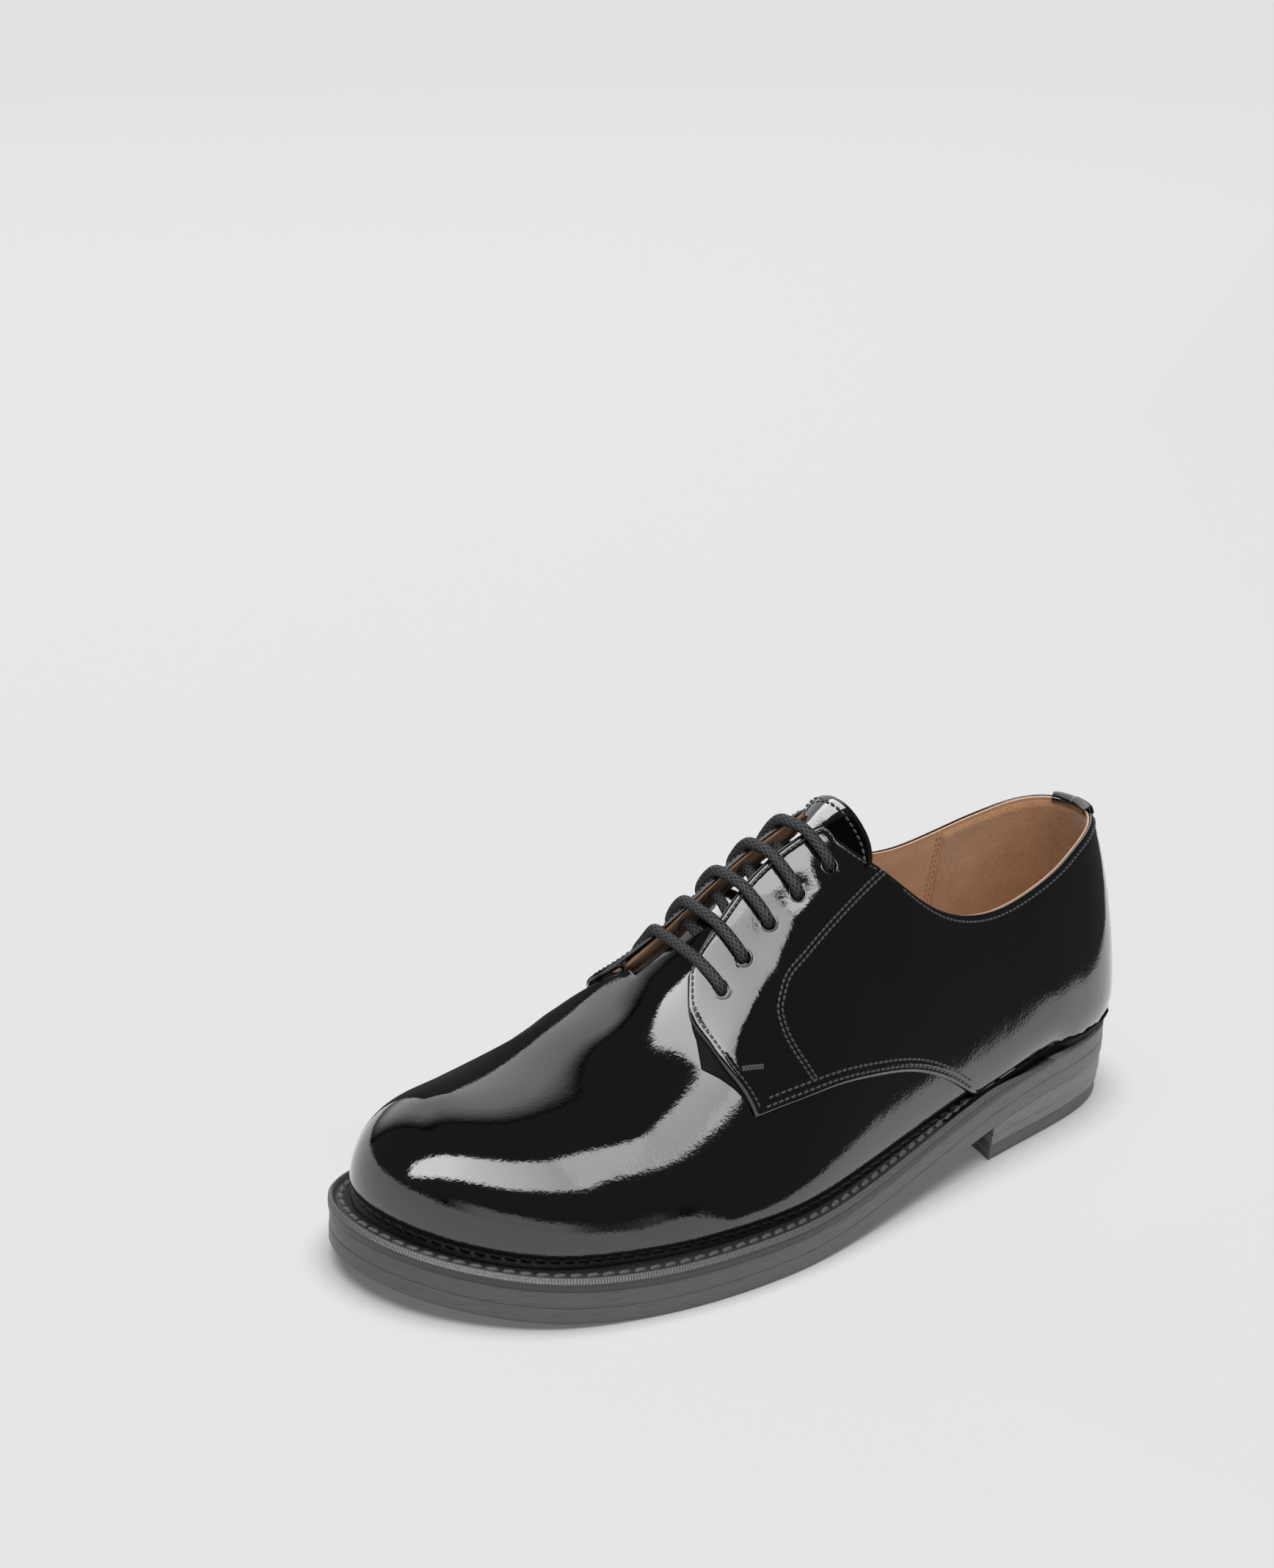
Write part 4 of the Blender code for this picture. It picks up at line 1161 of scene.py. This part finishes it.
def capsule(rings=5, sides=8):
    # Unit length of thread along x: points and quads.
    angles = np.linspace(0, 2 * math.pi, sides, endpoint=False)
    points = [(-0.5, 0, 0)]
    for t in np.linspace(-0.5, 0.5, rings + 2)[1:-1]:
        radius = 0.5 * (1 - abs(2 * t) ** 3.5) ** 0.5
        points += [(t, radius * math.cos(a), radius * math.sin(a)) for a in angles]
    points.append((0.5, 0, 0))
    faces = []
    for k in range(sides):
        faces.append((0, 1 + (k + 1) % sides, 1 + k))
        for r in range(rings - 1):
            a, b = 1 + r * sides + k, 1 + r * sides + (k + 1) % sides
            faces.append((a, b, b + sides, a + sides))
        base = 1 + (rings - 1) * sides
        faces.append((base + k, base + (k + 1) % sides, len(points) - 1))
    return np.array(points), faces


def stitchRow(points, normals, pitch, length, thick, slant, lift):
    # Centres, directions and normals at even steps along a path.
    run = pathRun(points)
    at = np.arange(0.5 * pitch, run[-1] - 0.4 * pitch, pitch)
    centre = pointsAt(at, run, points)
    along = pointsAt(at + 0.3, run, points) - pointsAt(at - 0.3, run, points)
    along /= np.linalg.norm(along, axis=1)[:, None]
    up = pointsAt(at, run, normals)
    up -= along * np.sum(up * along, axis=1)[:, None]
    up /= np.linalg.norm(up, axis=1)[:, None]
    across = np.cross(up, along)
    turned = along * math.cos(slant) + across * math.sin(slant)
    return [(c + u * lift, t, u, length, thick) for c, t, u in zip(centre, turned, up)]


def stitchPiece(name, rows, look):
    shape, faces = capsule()
    points = []
    quads = []
    for centre, along, up, length, thick in rows:
        across = np.cross(up, along)
        start = len(points)
        wide = shape[:, 1:2] * across + shape[:, 2:] * up
        points += list(centre + shape[:, :1] * length * along + thick * wide)
        quads += [tuple(start + k for k in face) for face in faces]
    mesh = bpy.data.meshes.new(name)
    mesh.from_pydata([tuple(p) for p in toFrame(points)], [], quads)
    mesh.shade_smooth()
    piece = bpy.data.objects.new(name, mesh)
    bpy.context.collection.objects.link(piece)
    return finishPiece(piece, look)


def leatherTop(v, s):
    # Height of the quarter's outer face over the last.
    front = np.where(v < 0, frontPlace(s, -1), frontPlace(s, 1))
    near = (1 - np.abs(v) / front) * quarterRun / quarterLook["tabReach"]
    return quarterLook["raise"] + quarterLook["tabLift"] * np.exp(-(near**2))


def rowOn(path, offset, pitch, length, thick, slant=0.0):
    # Row of stitches along places on the quarter.
    v, s = np.array(path, float).T
    fine = np.linspace(0, len(v) - 1, max(len(v) * 6, 80))
    v = np.interp(fine, np.arange(len(v)), v)
    s = np.interp(fine, np.arange(len(s)), s)
    points = onLast(v, s, leatherTop(v, s) + offset)
    return stitchRow(points, lastNormal(v, s), pitch, length, thick, slant, stitchLook["lift"])


def alongColumn(column, side, at):
    v, s, run = column
    return np.interp(at, run, v * side) * side, np.interp(at, run, s)


def seamRow(side, gap):
    columns = [columnRun(side, a) for a in np.linspace(0.3, 1 - gap / quarterRun, 110)]
    return [alongColumn(column, side, gap) for column in columns if column[1][0] > 0.004]


def topRow(side, gap, start, end):
    columns = [columnRun(side, a) for a in np.linspace(start, end, 160)]
    return [alongColumn(column, side, column[2][-1] - gap) for column in columns]


def frontRow(side, gap):
    column = columnRun(side, 1 - gap / quarterRun)
    return list(zip(*alongColumn(column, side, np.linspace(column[2][-1] - gap, gap, 60))))


# Stitched line down from the collar, then the short bar at the tab, as places on the outer quarter.
eyestay = np.array([
    (0.409, 0.497), (0.446, 0.468), (0.488, 0.438), (0.516, 0.415), (0.535, 0.398), (0.546, 0.355), (0.55, 0.318),
    (0.546, 0.247), (0.535, 0.180), (0.526, 0.138),
])
barTack = {"from": (0.599, 0.262), "to": (0.577, 0.23), "pitch": 1.2}


def makeStitches():
    look = stitchLook
    rows = []
    for side in (1, -1):
        for gap in (2.0, 4.3):
            rows += rowOn(seamRow(side, gap), -0.05, look["seamPitch"], 1.75, look["thick"], 0.14 * side)
        rows += rowOn(topRow(side, 2.1, 0.07, 0.63), -0.1, look["edgePitch"], 1.6, look["fine"])
        edge = topRow(side, 2.0, 0.66, 1 - 2.0 / quarterRun) + frontRow(side, 2.0)
        rows += rowOn(edge, -0.1, look["edgePitch"], 1.6, look["fine"])
        knots = np.linspace(0, 1, len(eyestay))
        fine = np.linspace(0, 1, 60)
        v = side * spline(knots, eyestay[:, 0])(fine)
        s = spline(knots, eyestay[:, 1])(fine)
        points = onLast(v, s, leatherTop(v, s))
        normals = lastNormal(v, s)
        along = np.gradient(points, axis=0)
        along /= np.linalg.norm(along, axis=1)[:, None]
        aside = np.cross(normals, along)
        for gap in (-0.75, 0.75):
            rows += stitchRow(points + aside * gap, normals, look["edgePitch"], 1.65, 0.7, 0.1, look["lift"])
        ends = np.array([barTack["from"], barTack["to"]]) * (side, 1)
        for slant in (0.9, -0.9):
            rows += rowOn(ends, 0.0, barTack["pitch"], 2.2, 0.7, slant)
    v, s, drop = [grid[0] for grid in tongueGrid([3.4 / tongueLook["length"]], np.linspace(-0.92, 0.92, 70))]
    rows += stitchRow(onLast(v, s, -drop), lastNormal(v, s), 2.2, 1.7, 0.65, 0.1, 0.3)
    stitchPiece("upperStitches", rows, thread)
    rows = []
    for side in (1, -1):
        for gap in (0.004, 0.0095):
            s = np.linspace(0.14, 0.97, 90) * collarTop(np.array([side * liningLook["gripEnd"]]))
            v = np.full_like(s, side * (liningLook["gripEnd"] + gap))
            points = onLast(v, s, -liningLook["depth"])
            rows += stitchRow(points, -lastNormal(v, s), 2.3, 1.6, 0.55, 0.0, 0.05)
    stitchPiece("liningStitches", rows, tanThread)


makeStitches()


def makeWeltStitches():
    first = stationOf(weltSizes["fullFrom"])
    v = np.linspace(first + 0.004, 2 - first - 0.004, 1200)
    x, y = outlinePoint(v, weltSizes["stitchInset"])[:2]
    points = np.column_stack([x, y, midsoleTop(x) + 0.3 + lastShape["welt"]])
    normals = np.tile((0.0, 0.0, 1.0), (len(v), 1))
    rows = stitchRow(points, normals, weltSizes["stitchPitch"], 4.1, 1.5, 0.16, 0.05)
    stitchPiece("weltStitches", rows, weltThread)


makeWeltStitches()
print("stitches ready")

# Studio: pale floor, dark room, and the lamps and cards that the gloss mirrors.
studio = {
    "floor": "#C4C4C4",
    "floorGlow": 0.12,
    "room": 0.065,
    "ceiling": 3.6,
    "fill": 2.4,
    "sky": "#E2E2E2",
}
bpy.ops.object.select_all(action="DESELECT")
bpy.ops.mesh.primitive_plane_add(size=9.0, location=(0, 0, 0))
floor = bpy.context.object
floor.name = "floor"
floorLook = newMaterial("paleFloor", {
    "Base Color": colour(studio["floor"]), "Roughness": 0.9,
    "Emission Color": (1, 1, 1, 1), "Emission Strength": studio["floorGlow"],
})[0]
floor.data.materials.append(floorLook)

world = bpy.data.worlds.new("studio")
bpy.context.scene.world = world
world.use_nodes = True
tree = world.node_tree
tree.nodes.clear()
rays = addNode(tree, "ShaderNodeLightPath")
tint = addNode(tree, "ShaderNodeMix", {"Factor": rays.outputs["Is Camera Ray"]}, data_type="RGBA")
tint.inputs["A"].default_value = (studio["room"], studio["room"], studio["room"], 1)
tint.inputs["B"].default_value = colour(studio["sky"])
back = addNode(tree, "ShaderNodeBackground", {"Color": tint.outputs["Result"], "Strength": 1.0})
addNode(tree, "ShaderNodeOutputWorld", {"Surface": back.outputs[0]})


def sunLight(name, level, spread, turn):
    # Even light for floor and matt leathers, which the gloss doesn't mirror.
    bpy.ops.object.select_all(action="DESELECT")
    bpy.ops.object.light_add(type="SUN", location=(0, 0, 2), rotation=np.radians(turn))
    lamp = bpy.context.object
    lamp.name = name
    lamp.data.energy = level
    lamp.data.angle = math.radians(spread)
    lamp.visible_glossy = False
    return lamp


ceiling = sunLight("ceiling", studio["ceiling"], 100, (7, -6, 0))
fill = sunLight("fill", studio["fill"], 70, (48, 0, 152))
floorLight = sunLight("floorLight", studio["ceiling"], 60, (0, 0, 0))

# Upright softboxes a metre away on the outer side: their ends and heights, in metres.
longBox = {
    "turn": 67.0, "right": 0.5, "left": 4.8, "low": 0.55, "high": 1.45,
    "levels": (5.5, 2.8), "soft": (0.002, 0.006), "bend": 0.66,
}
vampBox = {"turn": 67.0, "right": 0.85, "left": -0.5, "low": 0.55, "high": 1.45, "level": 3.3}
facingBox = {"turn": 67.0, "right": 1.0, "left": 0.3, "low": 1.45, "high": 3.5, "level": 4.2}
tongueBox = {"place": (0.2, -0.2, 1.2), "turn": (0, 0, 0), "width": 0.75, "height": 0.9, "level": 5.6}
# Low cards: a pale one off the outer side, and a dark one in the place of the other shoe.
lowCard = {
    "middle": (0.65, 1.0, 0.085), "aside": (1.85, -1.2, 0), "up": (0, 0, 0.17),
    "levels": (0.72, 0.72), "soft": (0.3, 0.03),
}
otherShoe = {
    "middle": (-0.05, -0.1, 0.055), "aside": (0.3, 0, 0), "up": (0, 0, 0.11),
    "levels": (0.05, 0.05), "soft": (0.01, 0.01),
}
backGlow = {"turn": -105.0, "lift": 42.0, "away": 1.5, "width": 3.4, "height": 2.9, "level": 1.0, "soft": 0.3}


def boxPlace(box):
    # Middle and size of an upright softbox one metre away on the outer side.
    turn = math.radians(box["turn"])
    toward = np.array([math.cos(turn), math.sin(turn), 0.0])
    aside = np.array([toward[1], -toward[0], 0.0])
    width = box["left"] + box["right"]
    height = box["high"] - box["low"]
    middle = toward + aside * 0.5 * (box["left"] - box["right"])
    middle[2] = 0.05 + 0.5 * (box["high"] + box["low"])
    return middle, aside, turn, width, height


def softBox(name, place, turn, width, height, level):
    bpy.ops.object.select_all(action="DESELECT")
    bpy.ops.object.light_add(type="AREA", location=place, rotation=turn)
    lamp = bpy.context.object
    lamp.name = name
    lamp.data.shape = "RECTANGLE"
    lamp.data.size = width
    lamp.data.size_y = height
    lamp.data.energy = level * math.pi * width * height
    lamp.visible_camera = False
    lamp.visible_diffuse = False
    return lamp


def windowBox(name, box):
    middle, aside, turn, width, height = boxPlace(box)
    return softBox(name, middle, (math.pi / 2, 0, turn + math.pi / 2), width, height, box["level"])


def gather(title, names):
    group = bpy.data.collections.new(title)
    for name in names:
        group.objects.link(bpy.data.objects[name])
    return group


def lightOnly(lamp, names, shades=()):
    # Flags a lamp off everything but the named pieces, and lets only some pieces shade them.
    lamp.light_linking.receiver_collection = gather(lamp.name + "Lit", names)
    if shades:
        lamp.light_linking.blocker_collection = gather(lamp.name + "Shades", shades)


def stageCard(card):
    # Seen in the gloss alone.
    card.visible_camera = False
    card.visible_diffuse = False
    card.visible_shadow = False


def lightCard(name, middle, aside, up, levels, soft, bend=0.0):
    # Card whose light runs from one level to another and fades out at its edges.
    middle, aside, up = [np.array(item, float) for item in (middle, aside, up)]
    bpy.ops.object.select_all(action="DESELECT")
    bpy.ops.mesh.primitive_plane_add(size=1.0, location=(0, 0, 0))
    card = bpy.context.object
    card.name = name
    corners = [middle + aside * a + up * b for b in (-0.5, 0.5) for a in (-0.5, 0.5)]
    card.data.vertices.foreach_set("co", np.array(corners).astype(np.float32).ravel())
    made = bpy.data.materials.new(name)
    made.use_nodes = True
    tree = made.node_tree
    tree.nodes.clear()
    coords = addNode(tree, "ShaderNodeTexCoord")
    split = addNode(tree, "ShaderNodeSeparateXYZ", {"Vector": coords.outputs["UV"]})
    strength = mapRange(tree, split.outputs["X"], bend, 1.0, *levels)
    for axis, edge in zip(("X", "Y"), soft):
        apart = maths(tree, "ABSOLUTE", maths(tree, "SUBTRACT", split.outputs[axis], 0.5))
        fade = mapRange(tree, apart, 0.5, 0.5 - edge, interpolation_type="SMOOTHSTEP")
        strength = maths(tree, "MULTIPLY", strength, fade)
    glow = addNode(tree, "ShaderNodeEmission", {"Strength": strength})
    addNode(tree, "ShaderNodeOutputMaterial", {"Surface": glow.outputs[0]})
    card.data.materials.append(made)
    stageCard(card)
    return card


def makeBackGlow():
    # Large dim reflector behind the shoe, whose mirror image is the glow on the toe.
    turn, lift = math.radians(backGlow["turn"]), math.radians(backGlow["lift"])
    toward = np.array([math.cos(lift) * math.cos(turn), math.cos(lift) * math.sin(turn), math.sin(lift)])
    aside = np.array([-math.sin(turn), math.cos(turn), 0.0])
    up = np.cross(toward, aside) * backGlow["height"]
    levels, soft = [(backGlow[key], backGlow[key]) for key in ("level", "soft")]
    lightCard("backGlow", toward * backGlow["away"], aside * backGlow["width"], up, levels, soft)


pieces = [item.name for item in bpy.data.objects if item.type == "MESH" and item.name != floor.name]
middle, aside, turn, width, height = boxPlace(longBox)
longCard = lightCard(
    "longBox", middle, -aside * width, (0, 0, height), longBox["levels"], longBox["soft"], longBox["bend"],
)
lightOnly(longCard, [name for name in pieces if name != "tongueFlap"])
lightCard("lowCard", **lowCard)
lightCard("sideCard", **otherShoe).visible_shadow = True
lightOnly(softBox("tongueBox", **tongueBox), ["tongueFlap"])
lightOnly(windowBox("vampBox", vampBox), ["vamp"])
lightOnly(windowBox("facingBox", facingBox), ["quarters", "holeRims"])
lightOnly(fill, pieces)
lightOnly(ceiling, pieces)
lightOnly(floorLight, ["floor"], ["outsolePlate", "midsolePlate", "topPiece", "liftLower", "liftUpper"])
makeBackGlow()

# Dark card on the floor beside the picture, which the gloss mirrors as a dark edge.
flagCorners = [
    (0.03, 0.093), (-0.056, 0.534), (-0.9, 6.0), (-6.0, 6.0), (-6.0, -4.0), (-0.8, -0.6), (-0.3, 0.045),
    (-0.225, 0.122), (-0.15, 0.097),
]


def makeFlag():
    bpy.ops.object.select_all(action="DESELECT")
    bpy.ops.mesh.primitive_circle_add(vertices=len(flagCorners), radius=1.0, fill_type="NGON", location=(0, 0, 0))
    card = bpy.context.object
    card.name = "flag"
    corners = [(x, y, 0.0006) for x, y in flagCorners]
    card.data.vertices.foreach_set("co", np.array(corners).astype(np.float32).ravel())
    card.data.update()
    black = newMaterial("darkCard", {
        "Base Color": colour("#000000"), "Specular IOR Level": 0.0,
        "Emission Color": (1, 1, 1, 1), "Emission Strength": studio["room"],
    })[0]
    card.data.materials.append(black)
    stageCard(card)


makeFlag()
print("studio ready")

# Camera at the photo's place and angle.
view = {
    "turn": 140.803, "lift": 21.585, "roll": 2.532, "pixels": 4411.0, "photoWidth": 1736, "away": 1212.0,
    "aim": (41.168, -191.789, 45.0),
}
scene = bpy.context.scene
scene.view_settings.view_transform = "Standard"
turn, lift = math.radians(view["turn"]), math.radians(view["lift"])
toCamera = np.array([math.sin(turn) * math.cos(lift), -math.cos(turn) * math.cos(lift), math.sin(lift)])
place = toFrame(np.array(view["aim"]) + toCamera * view["away"])
bpy.ops.object.select_all(action="DESELECT")
bpy.ops.object.camera_add(location=place, rotation=(math.pi / 2 - lift, 0.0, turn))
camera = bpy.context.object
camera.name = "photoCamera"
camera.data.sensor_fit = "HORIZONTAL"
camera.data.sensor_width = 36.0
camera.data.lens = view["pixels"] * camera.data.sensor_width / view["photoWidth"]
camera.rotation_euler.rotate_axis("Z", math.radians(view["roll"]))
scene.camera = camera
